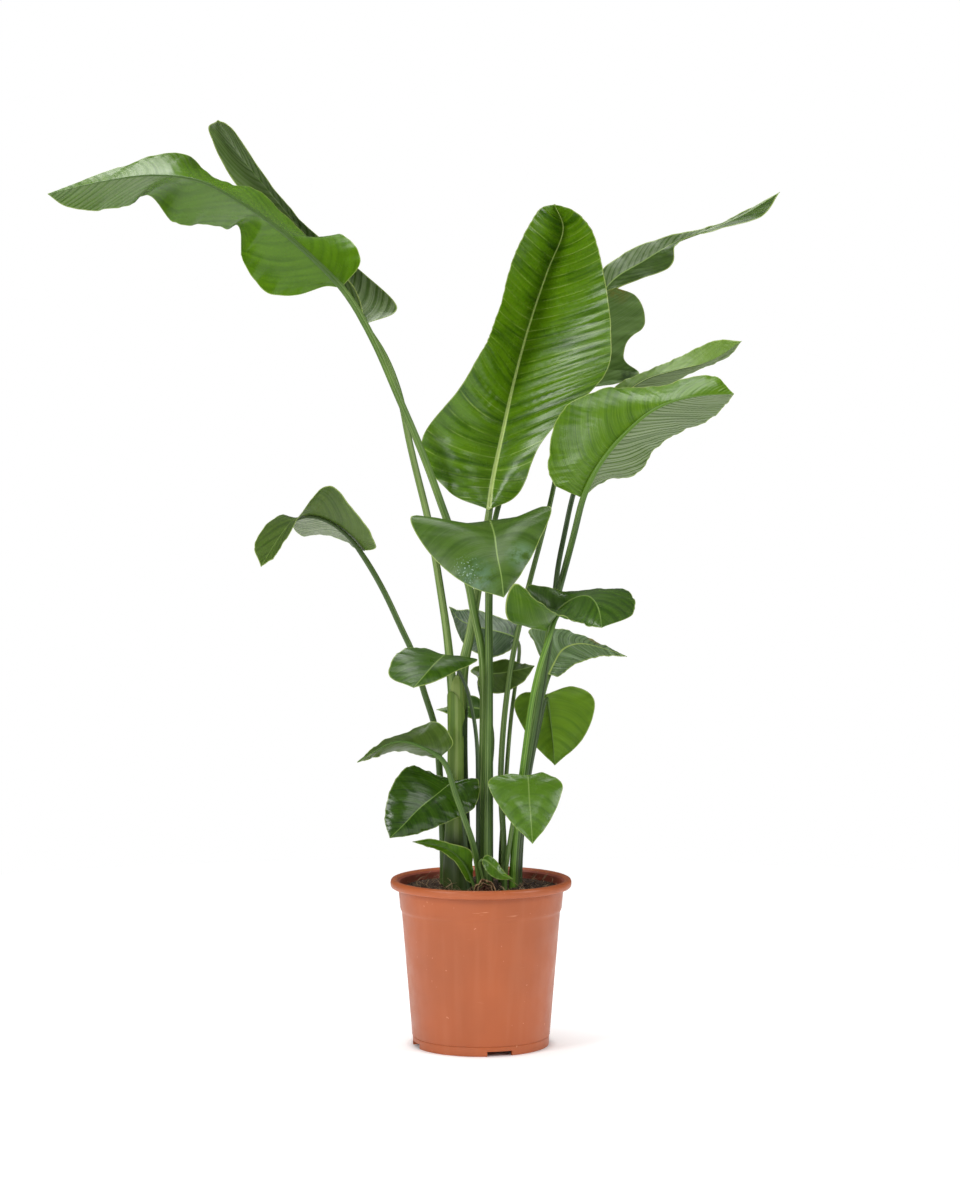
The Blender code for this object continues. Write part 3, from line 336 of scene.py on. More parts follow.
# How each leaf is finished. grid: rows and columns. lean: how far its veins run towards the tip,
# per metre of breadth. pleat: depth and pitch of the ribs between veins. wave: depth and count of
# the margin's ripples. calm: how far from the base its pleats stay shallow. curls: see ripples.
# top and under: which green each face has. stem: which green the stalk has, where it isn't mid.
LOOKS = {
    "upper_left_outer": dict(grid=(180, 40), lean=0.9, pleat=(0.0006, 0.012), wave=(0.0017, 9.0),
                             top="deep", under="glossy", stem="light"),
    "upper_left_inner": dict(grid=(90, 30), lean=1.2, pleat=(0.0005, 0.014), wave=(0.0011, 5.0),
                             top="veined", under="veined", stem="light"),
    "center_large": dict(grid=(170, 52), lean=0.30, pleat=(0.0023, 0.0145), wave=(0.0009, 6.0),
                         calm=0.10, curls=((0.17, 0.09, -1.0, -0.020), (0.10, 0.07, 1.0, -0.010),
                                           (0.80, 0.12, -1.0, -0.006)),
                         top="pleated", under="fresh", stem="light"),
    "right_large": dict(grid=(150, 40), lean=0.9, pleat=(0.0010, 0.0075), wave=(0.0016, 9.0),
                        top="two_tone", under="two_tone", stem="keeled"),
    "upper_right_twisted": dict(grid=(130, 24), lean=1.5, pleat=(0.0004, 0.012), wave=(0.0014, 9.0),
                                top="two_tone_dark", under="grey"),
    "right_back_curled": dict(grid=(110, 30), lean=0.8, pleat=(0.0008, 0.0085), wave=(0.0025, 8.0),
                              top="sage", under="sage"),
    "right_narrow": dict(grid=(120, 24), lean=1.4, pleat=(0.0008, 0.0062), wave=(0.0009, 12.0),
                         top="two_tone_right", under="two_tone_right", stem="dark"),
    "center_drooping": dict(grid=(80, 44), lean=0.5, pleat=(0.0003, 0.013), wave=(0.0014, 5.0),
                            top="bloom_and_sheen", under="fresh"),
    "right_middle_folded": dict(grid=(90, 44), lean=0.6, pleat=(0.0005, 0.012), wave=(0.0016, 7.0),
                                top="deep", under="bright", stem="vivid"),
    "back_center": dict(grid=(90, 26), lean=0.8, pleat=(0.0009, 0.0062), wave=(0.0012, 5.0),
                        top="striped", under="striped"),
    "right_back_browned": dict(grid=(90, 30), lean=0.9, pleat=(0.0009, 0.0070), wave=(0.0016, 6.0),
                               top="browned", under="browned"),
    "left_middle_drooping": dict(grid=(56, 34), lean=0.6, pleat=(0.0004, 0.010), wave=(0.0014, 5.0),
                                 top="deep", under="fresh", stem="dark"),
    "center_back_small": dict(grid=(44, 24), lean=0.9, pleat=(0.0005, 0.008), wave=(0.0014, 5.0),
                              top="olive", under="fresh", stem="dark"),
    "right_heart": dict(grid=(56, 34), lean=0.7, pleat=(0.0004, 0.011), wave=(0.0014, 4.0),
                        top="sunlit", under="lime", stem="hearted"),
    "left_low_arching": dict(grid=(60, 26), lean=0.9, pleat=(0.0005, 0.010), wave=(0.0014, 5.0),
                             top="olive", under="olive"),
    "left_low_glossy": dict(grid=(64, 38), lean=0.6, pleat=(0.0003, 0.012), wave=(0.0016, 9.0),
                            top="gloss", under="fresh", stem="dark"),
    "right_low_heart": dict(grid=(56, 34), lean=0.7, pleat=(0.0003, 0.011), wave=(0.0010, 4.0),
                            top="satin", under="fresh"),
    "base_left_small": dict(grid=(44, 16), lean=1.0, pleat=(0.0003, 0.008), wave=(0.0012, 6.0),
                            top="rich", under="fresh"),
    "base_center_small": dict(grid=(40, 16), lean=1.0, pleat=(0.0003, 0.008), wave=(0.0010, 5.0),
                              top="rich", under="bright"),
    "left_arching": dict(grid=(120, 30), lean=1.0, pleat=(0.0008, 0.0070), wave=(0.0014, 6.0),
                         top="olive", under="shaded", stem="shaded"),
    "back_low": dict(grid=(36, 16), lean=1.0, pleat=(0.0004, 0.008), wave=(0.0010, 4.0),
                     top="deep", under="fresh"),
}


# ---------------------------------------------------------------- shapes

def blend(values, knots, where):
    """Smooth values at the places in where, through values set at the places in knots."""
    v = np.array(values, float)
    v = v.reshape(len(v), -1)
    knots = np.asarray(knots, float)
    gaps = np.diff(knots)[:, None]
    slopes = np.diff(v, axis=0) / gaps
    inner = (slopes[:-1] * gaps[1:] + slopes[1:] * gaps[:-1]) / (gaps[:-1] + gaps[1:])
    tangents = np.concatenate([slopes[:1], inner, slopes[-1:]])
    where = np.asarray(where, float)
    k = np.clip(np.searchsorted(knots, where, side="right") - 1, 0, len(knots) - 2)
    width = gaps[k]
    t = (where - knots[k])[:, None] / width
    return (
        (2 * t**3 - 3 * t**2 + 1) * v[k]
        + (t**3 - 2 * t**2 + t) * width * tangents[k]
        + (3 * t**2 - 2 * t**3) * v[k + 1]
        + (t**3 - t**2) * width * tangents[k + 1]
    )


def run_length(line):
    """How far along the line each of its points is."""
    steps = np.linalg.norm(np.diff(np.asarray(line, float), axis=0), axis=1)
    return np.concatenate([[0.0], np.cumsum(steps)])


def unit(vectors):
    """The vectors, each made one long."""
    return vectors / np.maximum(np.linalg.norm(vectors, axis=-1, keepdims=True), 1e-9)


def smooth_step(low, high, value):
    """0 up to low and 1 from high, with a smooth way between them."""
    share = np.clip((np.asarray(value, float) - low) / (high - low), 0.0, 1.0)
    return share * share * (3.0 - 2.0 * share)


def blade_frame(leaf, rows):
    """The blade's midrib on its upper face, its two margins and its upward direction, by row."""
    midrib = np.array(leaf["midrib"])
    knots = np.arange(len(midrib))
    where = rows * knots[-1]
    margins = {}
    for half in ("left", "right"):
        margin = np.array(leaf[half])
        near = midrib[0] + unit(margin[0] - midrib[0]) * BASE_HALF_WIDTH
        far = midrib[-1] + unit(margin[-1] - midrib[-1]) * TIP_HALF_WIDTH
        places = leaf.get(half + "_at", range(1, len(margin) + 1))
        margins[half] = blend(np.vstack([near, margin, far]), [0, *places, knots[-1]], where)
    middle = blend(midrib, knots, where)
    before = blend(midrib, knots, np.maximum(where - TANGENT_STEP, 0.0))
    after = blend(midrib, knots, np.minimum(where + TANGENT_STEP, knots[-1]))
    ahead = unit(after - before)
    up = unit(np.cross(margins["right"] - margins["left"], ahead))
    lift = (leaf.get("seat", SEAT) * leaf["radius"][1] + CAD_SHEET) * (1.0 - rows) ** 2
    shift = up * lift[:, None]
    return middle + shift, {half: margins[half] + shift for half in margins}, up, lift


def blade_points(leaf, rows, across):
    """The blade's upper face: a point for each row from base to tip and each place across it."""
    middle, margins, up, _ = blade_frame(leaf, rows)
    points = np.zeros((len(rows), len(across), 3))
    breadths = np.zeros((len(rows), len(across)))
    for column, place in enumerate(across):
        half, bow = ("left", leaf["bow"][0]) if place < 0 else ("right", leaf["bow"][1])
        share = abs(place)
        rib = margins[half] - middle
        breadth = np.linalg.norm(rib, axis=1, keepdims=True)
        breadths[:, column] = breadth[:, 0]
        points[:, column] = middle + rib * share + up * breadth * bow * 4.0 * share * (1.0 - share)
    return points, breadths


def grid_normals(points):
    """The upward direction of the sheet at each of its points."""
    down_rows = np.gradient(points, axis=0)
    over_columns = np.gradient(points, axis=1)
    return unit(np.cross(over_columns, down_rows))


def vein_count(look, veins, seed):
    """How many pleats lie between the base and each vein, a little uneven in width."""
    pleats = veins / look["pleat"][1]
    phase = np.random.default_rng(seed).uniform(0.0, 6.28, 4)
    drift = 0.35 * np.sin(pleats * 1.9 + phase[0]) + 0.3 * np.sin(pleats * 0.83 + phase[1])
    return pleats + drift / math.pi


def ribs(look, veins, turn, share, seed):
    """Height of the pleats between veins: long slopes with short steps, flat at the midrib."""
    depth, pitch = look["pleat"]
    phase = np.random.default_rng(seed).uniform(0.0, 6.28, 4)
    ramp = turn - np.floor(turn)
    slope = np.where(ramp < RIB_CREST, ramp / RIB_CREST, (1.0 - ramp) / (1.0 - RIB_CREST))
    rib = smooth_step(0.0, 1.0, slope) - 0.5 + 0.22 * np.sin(FULL_TURN * turn * 3.0 + phase[2])
    fade = smooth_step(0.05, 0.3, share) * (1.0 - 0.55 * smooth_step(0.75, 1.0, share))
    uneven = 0.75 + 0.35 * np.sin(veins / pitch * 0.61 + phase[2]) * np.sin(5.0 * share + phase[3])
    calm = 1.0 - 0.8 * np.exp(-((veins / look.get("calm", 0.001)) ** 2))
    return depth * rib * fade * uneven * calm


def ripples(look, along, share, side, seed):
    """Waves that grow towards the margin, different on the two halves, and the look's curls:
    (place along the leaf, spread, side, lift at the margin)."""
    depth, count = look["wave"]
    phase = np.random.default_rng(seed + 1).uniform(0.0, 6.28, 6)
    offset = np.where(side < 0, phase[0], phase[1])
    beat = FULL_TURN * count * along
    wave = np.sin(beat + offset)
    wave = wave + 0.6 * np.sin(beat * 1.73 + phase[2] + offset)
    wave = wave + 0.35 * np.sin(beat * 3.1 + phase[3] + 2 * offset)
    swell = 0.8 * np.sin(FULL_TURN * 1.6 * along + phase[4]) * np.sin(3.0 * share + phase[5])
    ends = smooth_step(0.0, 0.12, along) * (1.0 - smooth_step(0.78, 1.0, along))
    height = depth * (0.55 * wave * share**2.5 + 0.5 * swell * share) * ends
    for center, spread, half, lift in look.get("curls", ()):
        near = np.exp(-((along - center) / spread) ** 2) * (side * half > 0)
        height = height + lift * near * smooth_step(0.25, 1.0, share) * share
    return height


def laid_grid(points, closed=False, values=None):
    """A bmesh grid whose vertices lie on points[row, column]. closed joins its two long sides.
    values are attributes by name, with a vector for each point."""
    rows, columns = points.shape[:2]
    sheet = bmesh.new()
    bmesh.ops.create_grid(sheet, x_segments=columns - 1, y_segments=rows - 1, size=1.0)
    values = values or {}
    for name in values:
        sheet.verts.layers.float_vector.new(name)
    layers = [(sheet.verts.layers.float_vector[name], values[name].reshape(-1, 3)) for name in values]
    order = sorted(sheet.verts, key=lambda v: (round(v.co.y, 4), round(v.co.x, 4)))
    for index, (vertex, point) in enumerate(zip(order, points.reshape(-1, 3))):
        vertex.co = point
        for layer, table in layers:
            vertex[layer] = table[index]
    if closed:
        bmesh.ops.remove_doubles(sheet, verts=sheet.verts, dist=1e-7)
    return sheet


def linked(name, shape, finishes=()):
    """Puts the bmesh into the scene as an object with those finishes."""
    mesh = bpy.data.meshes.new(name)
    shape.to_mesh(mesh)
    shape.free()
    for finish in finishes:
        mesh.materials.append(finish)
    piece = bpy.data.objects.new(name, mesh)
    bpy.context.scene.collection.objects.link(piece)
    return piece


def smoothed(mesh, sharp):
    """Shades the mesh smooth, but for edges sharper than the angle, if one is given."""
    mesh.polygons.foreach_set("use_smooth", [True] * len(mesh.polygons))
    if sharp:
        mesh.set_sharp_from_angle(angle=math.radians(sharp))


def finished(name, shape, finishes, node=None, sharp=50.0, recalc=False):
    """Makes the piece from its bmesh and puts it on the frame."""
    if recalc:
        bmesh.ops.recalc_face_normals(shape, faces=shape.faces)
    piece = linked(name, shape, finishes)
    smoothed(piece.data, sharp)
    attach(piece, "root")
    if node:
        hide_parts(node)
    return piece


def settle(piece, sharp=50.0):
    """Applies the piece's modifiers to its mesh."""
    bpy.context.view_layer.update()
    graph = bpy.context.evaluated_depsgraph_get()
    shaped = piece.evaluated_get(graph)
    mesh = bpy.data.meshes.new_from_object(shaped, preserve_all_data_layers=True, depsgraph=graph)
    piece.modifiers.clear()
    piece.data = mesh
    smoothed(mesh, sharp)


def thicken(piece, thickness, offset=0.0, under=0, rim=0):
    """Gives a sheet its other face and its edge. under and rim say how many places after the
    first finish theirs are."""
    solid = piece.modifiers.new("sheet", "SOLIDIFY")
    solid.thickness = thickness
    solid.offset = offset
    solid.use_even_offset = False
    solid.material_offset = under
    solid.material_offset_rim = rim
    settle(piece)


def make_blade(name, leaf, look, seed):
    """The blade: pleated between its veins, rippled at its margins, pale along its edge. Its
    attributes say how far each point is from the midrib, along the veins and from the margin,
    and on which half, row and pleat it is."""
    long, wide = look["grid"]
    rows = np.linspace(0.0, 1.0, long + 1)
    across = np.linspace(-1.0, 1.0, wide + 1)
    across = np.sign(across) * np.abs(across) ** MIDRIB_CROWDING
    points, breadths = blade_points(leaf, rows, across)
    every_row = np.ones((long + 1, 1))
    share, side = np.abs(across) * every_row, np.sign(across) * every_row
    run = run_length(points[:, wide // 2])[:, None] * np.ones((1, wide + 1))
    veins = run - look["lean"] * breadths * share**VEIN_CURVE
    turn = vein_count(look, veins, seed)
    height = ribs(look, veins, turn, share, seed)
    height = height + ripples(look, run / run[-1, 0], share, side, seed)
    raised = MIDRIB_RISE * np.exp(-(share * breadths / MIDRIB_SPREAD) ** 2) * (1.0 - rows[:, None])
    points = points + grid_normals(points) * (height + raised)[:, :, None]
    veins_at = np.stack([share * breadths, veins, (1.0 - share) * breadths], axis=2)
    place = np.stack([side * share, rows[:, None] * np.ones_like(share), turn], axis=2)
    sheet = laid_grid(points, values={"veins": veins_at, "place": place})
    finishes = [LEAF_GREENS[look["top"]], LEAF_GREENS[look["under"]], MARGIN]
    blade = finished("leaf_" + name, sheet, finishes, "blade_" + name)
    thicken(blade, BLADE_SHEET, -1.0, under=1, rim=2)


def swept_rings(line, facing, sides, section):
    """Rings of points round a line, and their place round it and along it. facing is the
    direction of its last rings, one for each, and is carried back from there to the first without
    twisting. section(share, angle) gives the ring's radius, angle 0 on the facing side."""
    ahead = unit(np.gradient(line, axis=0))
    up = np.zeros_like(line)
    carried = len(line) - len(facing)
    current = facing[0]
    for index in range(len(line) - 1, -1, -1):
        current = facing[index - carried] if index >= carried else current
        current = current - ahead[index] * np.dot(current, ahead[index])
        current = current / np.linalg.norm(current)
        up[index] = current
    over = np.cross(ahead, up)
    angles = np.linspace(-math.pi, math.pi, sides + 1)
    run = run_length(line)
    radii = section((run / run[-1])[:, None], angles[None, :])
    turn_up, turn_over = np.cos(angles), np.sin(angles)
    rings = line[:, None] + radii[:, :, None] * (
        up[:, None] * turn_up[None, :, None] + over[:, None] * turn_over[None, :, None]
    )
    grain = np.zeros_like(rings)
    grain[:, :, 0] = turn_up
    grain[:, :, 1] = turn_over
    grain[:, :, 2] = run[:, None]
    return rings, grain


def close_ends(shape):
    """Caps a tube's two open rings."""
    open_edges = [edge for edge in shape.edges if len(edge.link_faces) == 1]
    bmesh.ops.holes_fill(shape, edges=open_edges, sides=0)


def read_at(stops, run, table):
    """The rows of a table of points at the stops, where run says how far along each row is."""
    return np.stack([np.interp(stops, run, table[:, axis]) for axis in range(3)], axis=1)


def stalk_path(leaf):
    """The stalk's points from inside the soil, or from inside the trunk, to the blade."""
    x, y, z = leaf["stalk"][0]
    root = (x, y, z - FOOT_DEPTH)
    if z > TRUNK_TOP:
        root = (0.5 * (x + TRUNK_CENTER.x), 0.5 * (y + TRUNK_CENTER.y), z - SHEATHED)
    return np.array([root, (x, y, z + FOOT_RISE)] + leaf["stalk"][1:] + leaf["midrib"][:2])


def make_stem(name, leaf, finish):
    """The stalk, grooved on its upper side, which runs on under the blade as its midrib."""
    path = stalk_path(leaf)
    knots = run_length(path)
    stalk = blend(path, knots, np.linspace(0.0, knots[-2], STALK_POINTS))
    rows = np.linspace(0.004, 0.995, KEEL_POINTS)
    middle, _, up, lift = blade_frame(leaf, rows)
    foot_radius, end_radius = leaf["radius"]
    thin = np.maximum(end_radius * 0.92 * (1.0 - rows) ** 0.85, 0.0004)
    sink = np.maximum(lift - CAD_SHEET * 0.2, thin * KEEL_SINK)
    keel = middle - up * sink[:, None]
    line = np.vstack([stalk, keel])
    run = run_length(line)
    stalk_run = run[STALK_POINTS - 1]
    stalk_rings = max(24, int(stalk_run / STALK_RING_GAP))
    keel_rings = max(30, int((run[-1] - stalk_run) / KEEL_RING_GAP))
    stops = np.concatenate([np.linspace(0.0, stalk_run, stalk_rings, endpoint=False),
                            np.linspace(stalk_run, run[-1], keel_rings)])
    line = read_at(stops, run, line)
    for _ in range(2):
        line[1:-1] = (line[:-2] + 2.0 * line[1:-1] + line[2:]) / 4.0
    thin_at = np.interp(stops, run[STALK_POINTS:], thin)
    stalk_at = foot_radius + (end_radius - foot_radius) * np.clip(stops / stalk_run, 0.0, 1.0)
    keel_share = smooth_step(stalk_run - 0.01, stalk_run + 0.02, stops)
    radius = stalk_at * (1.0 - keel_share) + thin_at * keel_share
    radius = radius + leaf.get("flare", 0.0) * np.exp(-(stops / FLARE_REACH) ** 2)
    groove = GROOVE_DEPTH * smooth_step(0.02, 0.25, stops / stalk_run) * (1.0 - keel_share)

    def section(_, angles):
        dip = groove[:, None] * np.exp(-(angles / GROOVE_WIDTH) ** 2)
        flat = 1.0 - KEEL_FLATNESS * keel_share[:, None] * np.maximum(np.cos(angles), 0.0) ** 2
        return radius[:, None] * (1.0 - dip) * flat

    facing = read_at(stops[stalk_rings:], run_length(keel) + stalk_run, up)
    rings, grain = swept_rings(line, facing, STALK_SIDES, section)
    keel_at = np.zeros_like(rings)
    keel_at[:, :, 0] = keel_share[:, None]
    tube = laid_grid(rings, closed=True, values={"grain": grain, "keel": keel_at})
    close_ends(tube)
    finished("stem_" + name, tube, [finish], "stalk_" + name, recalc=True)


# ---------------------------------------------------------------- finishes

def put(tree, kind, *values, **settings):
    """Adds a node. values are its inputs in order, as wire takes them. settings are its own."""
    made = tree.nodes.new("ShaderNode" + kind)
    for key, value in settings.items():
        setattr(made, key, value)
    for socket, value in zip(made.inputs, values):
        wire(tree, socket, value)
    return made


def wire(tree, socket, value):
    """Links the value's socket, or sets the value: a number, or a colour, which may be three
    numbers. None leaves it as it is."""
    if isinstance(value, bpy.types.NodeSocket):
        tree.links.new(value, socket)
    elif value is not None:
        socket.default_value = (*value, 1.0) if socket.type == "RGBA" and len(value) == 3 else value


class Finish:
    """A material in the making. Each method adds a node to it and returns what it puts out."""

    def __init__(self, name, roughness):
        self.material = bpy.data.materials.new(name)
        self.material.use_nodes = True
        self.tree = self.material.node_tree
        self.shader = self.tree.nodes["Principled BSDF"]
        self.set("Roughness", roughness)
        self.set("IOR", 1.45)
        self.place = self.add("TexCoord").outputs["Object"]

    def set(self, name, value):
        """Sets or links one of the shader's inputs."""
        wire(self.tree, self.shader.inputs[name], value)

    def add(self, kind, *values, **settings):
        """Adds a node of that kind. See put."""
        return put(self.tree, kind, *values, **settings)

    def fill(self, made, **values):
        """Sets or links the node's inputs by name."""
        for name, value in values.items():
            wire(self.tree, made.inputs[name], value)

    def times(self, first, second):
        """One value times another."""
        return self.add("Math", first, second, operation="MULTIPLY").outputs[0]

    def scaled_sum(self, value, scale, more):
        """The value times the scale, and more added to it."""
        return self.add("Math", value, scale, more, operation="MULTIPLY_ADD").outputs[0]

    def grade(self, value, low, high, start=0.0, end=1.0):
        """value from low to high, read as start to end."""
        made = self.add("MapRange", value, low, high, start, end, interpolation_type="SMOOTHSTEP")
        return made.outputs["Result"]

    def mix(self, share, first, second):
        """The first colour where share is 0, the second where it is 1."""
        made = self.add("Mix", share, data_type="RGBA")
        colours = [socket for socket in made.inputs if socket.type == "RGBA"]
        for socket, value in zip(colours, (first, second)):
            wire(self.tree, socket, value)
        return next(socket for socket in made.outputs if socket.type == "RGBA")

    def tint(self, colour, mask, share, over):
        """The colour with another over it, at that share where the mask is 1."""
        return self.mix(self.times(mask, share), colour, over)

    def clouds(self, place, scale, detail=3.0, rough=0.55, flat=False):
        """Uneven patches, about half their values under 0.5. flat reads two of the place's axes."""
        made = self.add("TexNoise", noise_dimensions="2D" if flat else "3D")
        self.fill(made, Vector=place, Scale=scale, Detail=detail, Roughness=rough)
        return made.outputs[0]

    def relief(self, height, distance, strength, over=None):
        """A surface direction from a height, over another such relief if one is given."""
        made = self.add("Bump")
        self.fill(made, Strength=strength, Distance=distance, Height=height, Normal=over)
        return made.outputs[0]

    def spot(self, center, radius, soft):
        """1 inside a ball of the object's space, fading to 0 at its radius."""
        away = self.add("VectorMath", self.place, center, operation="DISTANCE").outputs["Value"]
        return self.grade(away, radius, radius * (1.0 - soft))

    def attribute(self, name):
        """The three parts of a piece's own attribute."""
        made = self.add("Attribute", attribute_name=name)
        return self.parts(made.outputs["Vector"])

    def parts(self, vector):
        """A vector's three values."""
        return self.add("SeparateXYZ", vector).outputs[:3]

    def spread(self, values, scales):
        """A place to read a pattern at, each value of it times its scale."""
        return self.add("CombineXYZ", *map(self.times, values, scales)).outputs[0]

    def stretched(self, scales, turn=None):
        """The object's space, turned if asked, times the scales."""
        return self.add("Mapping", self.place, None, turn, scales).outputs[0]


def leaf_finish(name, dark, body, light, pale, roughness, rib_depth=0.35, stripe=0.25, blush=0.0,
                patches=(), rib=(0.0026, 0.0008), lines=(0.30, None, 0.060), ashen=None,
                specks=None, gloss=0.5, edging=0.7):
    """A leaf face: ribs and fine veins along the vein lines, a pale midrib and edge, soft mottling.
    stripe and blush are the shares of light threads and bands. patches are (center, radius,
    colour, share): brown spots, painted sheen and a painted shadow. rib is the midrib's half width
    at base and tip. lines are the share and colour of the thin line along the vein in each pleat's
    crease, and its width in pleats; where that colour is dark, it is painted shade in the crease.
    ashen is the share of grey stripes on the left half and the right one, and the row they start
    at. specks are (center, radius).
    gloss is how strong reflections are, edging the share of the pale edge."""
    leaf = Finish(name, roughness)
    across, vein, edge = leaf.attribute("veins")
    side, row, turn = leaf.attribute("place")
    bands = leaf.clouds(leaf.spread((vein, across), (95.0, 9.0)), 1.0, 2.0, 0.6, flat=True)
    fine = leaf.clouds(leaf.spread((vein, across), (620.0, 14.0)), 1.0, 1.0, 0.5, flat=True)
    mottle = leaf.clouds(leaf.place, 16.0, 4.0, 0.6)
    tone = leaf.scaled_sum(bands, 0.75, leaf.times(mottle, 0.35))
    colour = leaf.mix(leaf.grade(tone, 0.36, 0.66), dark, body)
    colour = leaf.tint(colour, leaf.grade(fine, 0.54, 0.72), stripe, light)
    colour = leaf.tint(colour, leaf.grade(bands, 0.52, 0.75), blush, light)
    ridge = leaf.add("Math", turn, 0.5, operation="PINGPONG").outputs[0]
    if ashen:
        left, right, start = ashen
        share = leaf.times(leaf.grade(side, -0.03, 0.03, left, right), leaf.grade(row, start, start + 0.12))
        stripes = leaf.times(leaf.grade(fine, 0.36, 0.56, 0.45, 1.0), leaf.grade(ridge, 0.05, 0.26))
        colour = leaf.mix(share, colour, leaf.mix(stripes, ASH_DARK, ASH_LIGHT))
    # The thin line along each crease: pale veins, or, with a dark colour, painted shade in the crease.
    line_share, line_colour, line_width = lines
    broken = leaf.grade(mottle, 0.42, 0.62, 0.12, 1.0)
    thin = leaf.times(leaf.grade(ridge, line_width, 0.3 * line_width), broken)
    colour = leaf.tint(colour, thin, line_share, line_colour or light)
    for center, radius, patch_colour, share in patches:
        ragged = leaf.grade(leaf.clouds(leaf.place, 60.0, 4.0, 0.65), 0.35, 0.6)
        colour = leaf.tint(colour, leaf.times(leaf.spot(center, radius, 0.8), ragged), share, patch_colour)
    if specks:
        grains = leaf.grade(leaf.clouds(leaf.place, 420.0, 1.0, 0.4), 0.62, 0.68)
        colour = leaf.tint(colour, grains, leaf.spot(*specks, 0.9), SPECK)
    base_width, tip_width = rib
    width = leaf.scaled_sum(row, tip_width - base_width, base_width)
    inside = leaf.add("Math", width, across, operation="SUBTRACT").outputs[0]
    colour = leaf.tint(colour, leaf.grade(inside, -0.0003, 0.0006), 0.85, pale)
    colour = leaf.tint(colour, leaf.grade(edge, 0.0017, 0.0008), edging, PALE)
    leaf.set("Base Color", colour)
    shine = leaf.clouds(leaf.place, 55.0, 3.0, 0.6)
    leaf.set("Roughness", leaf.grade(shine, 0.25, 0.75, roughness - 0.06, roughness + 0.08))
    fine_relief = leaf.relief(fine, 0.00035, rib_depth)
    leaf.set("Normal", leaf.relief(leaf.clouds(leaf.place, 260.0, 2.0), 0.00008, 0.5, fine_relief))
    leaf.set("Specular IOR Level", gloss)
    leaf.set("Subsurface Weight", 0.12)
    leaf.set("Subsurface Radius", (0.0012, 0.0018, 0.0004))
    leaf.set("Subsurface Scale", 1.0)
    return leaf.material


def stem_finish(name, dark, body, light, foot=None, keel_green=(0.050, 0.125, 0.006)):
    """A leaf stalk: long fine fibres, painted shade in the groove on its upper side, a painted
    highlight on the shoulders beside it, leaf green along the keel under the blade. foot is the
    height below which it darkens: its own darker green there, with painted shade from the leaves
    above."""
    stalk = Finish(name, STALK_ROUGHNESS)
    grain = stalk.attribute("grain")
    upward = grain[0]
    fibres = stalk.clouds(stalk.spread(grain, (5.0, 5.0, 7.0)), 2.2, 3.0, 0.65)
    mottle = stalk.clouds(stalk.place, 20.0, 4.0, 0.6)
    tone = stalk.scaled_sum(fibres, 0.6, stalk.times(mottle, 0.45))
    colour = stalk.mix(stalk.grade(tone, 0.38, 0.66), dark, body)
    colour = stalk.mix(stalk.grade(fibres, 0.58, 0.78, 0.0, 0.5), colour, light)
    # Painted highlight on the shoulders beside the groove, and painted shade in the groove itself.
    ridge_highlight = stalk.times(stalk.grade(upward, 0.45, 0.72), stalk.grade(upward, 0.93, 0.80))
    colour = stalk.tint(colour, ridge_highlight, 0.45, light)
    colour = stalk.tint(colour, stalk.grade(upward, 0.86, 0.97), 0.5, dark)
    strips = stalk.clouds(stalk.spread(grain, (1.3, 1.3, 0.8)), 2.4, 1.0, 0.4)
    colour = stalk.mix(stalk.grade(strips, 0.54, 0.62, 0.0, 0.55), colour, light)
    colour = stalk.mix(stalk.grade(strips, 0.46, 0.40, 0.0, 0.65), colour, dark)
    specks = stalk.clouds(stalk.place, 330.0, 2.0, 0.5)
    colour = stalk.mix(stalk.grade(specks, 0.70, 0.80, 0.0, 0.25), colour, light)
    colour = stalk.tint(colour, stalk.attribute("keel")[0], 0.75, keel_green)
    # Darker below the foot height: the stem's own darker green there, with painted shade from the leaves
    # above.
    if foot:
        height = stalk.parts(stalk.place)[2]
        colour = stalk.mix(stalk.grade(height, foot, foot - 0.05, 0.0, 0.8), colour, FOOT_GREEN_AND_SHADE)
    stalk.set("Base Color", colour)
    stalk.set("Roughness", stalk.grade(mottle, 0.3, 0.7, STALK_ROUGHNESS - 0.05, STALK_ROUGHNESS + 0.10))
    stalk.set("Normal", stalk.relief(fibres, 0.0005, 0.4))
    return stalk.material


def margin_finish():
    """The blade's thin edge, pale where it isn't worn."""
    margin = Finish("pale_margin", 0.5)
    worn = margin.grade(margin.clouds(margin.place, 90.0), 0.35, 0.7)
    margin.set("Base Color", margin.mix(worn, (0.30, 0.36, 0.11), (0.16, 0.24, 0.05)))
    return margin.material


def pot_finish(name, body, worn, roughness):
    """Satin moulded plastic: faint cloudy colour, fine upright draw lines, scuffs and specks."""
    plastic = Finish(name, roughness)
    cloudy = plastic.clouds(plastic.place, 9.0, 3.0, 0.5)
    drawn = plastic.clouds(plastic.stretched((70.0, 70.0, 3.0)), 1.0, 2.0, 0.5)
    darker = tuple(part * 0.86 for part in body)
    colour = plastic.mix(plastic.grade(cloudy, 0.3, 0.7), darker, body)
    colour = plastic.mix(plastic.grade(drawn, 0.45, 0.75, 0.0, 0.06), colour, worn)
    level = plastic.stretched((28.0, 28.0, 260.0), (0.3, 0.2, 0.9))
    scratches = plastic.grade(plastic.clouds(level, 1.0, 2.0, 0.4), 0.70, 0.78)
    sparse = plastic.grade(plastic.clouds(plastic.place, 22.0, 2.0), 0.55, 0.68)
    scuffs = plastic.times(scratches, sparse)
    colour = plastic.tint(colour, scuffs, 0.9, worn)
    dots = plastic.grade(plastic.clouds(plastic.place, 210.0, 1.0, 0.4), 0.775, 0.80)
    plastic.set("Base Color", plastic.tint(colour, dots, 0.6, worn))
    uneven = plastic.clouds(plastic.place, 45.0, 4.0, 0.6)
    rough = plastic.grade(uneven, 0.3, 0.7, roughness - 0.05, roughness + 0.07)
    plastic.set("Roughness", plastic.scaled_sum(scuffs, 0.15, rough))
    grained = plastic.relief(plastic.clouds(plastic.place, 420.0, 2.0), 0.00012, 0.35)
    plastic.set("Normal", plastic.relief(drawn, 0.0004, 0.03, grained))
    return plastic.material


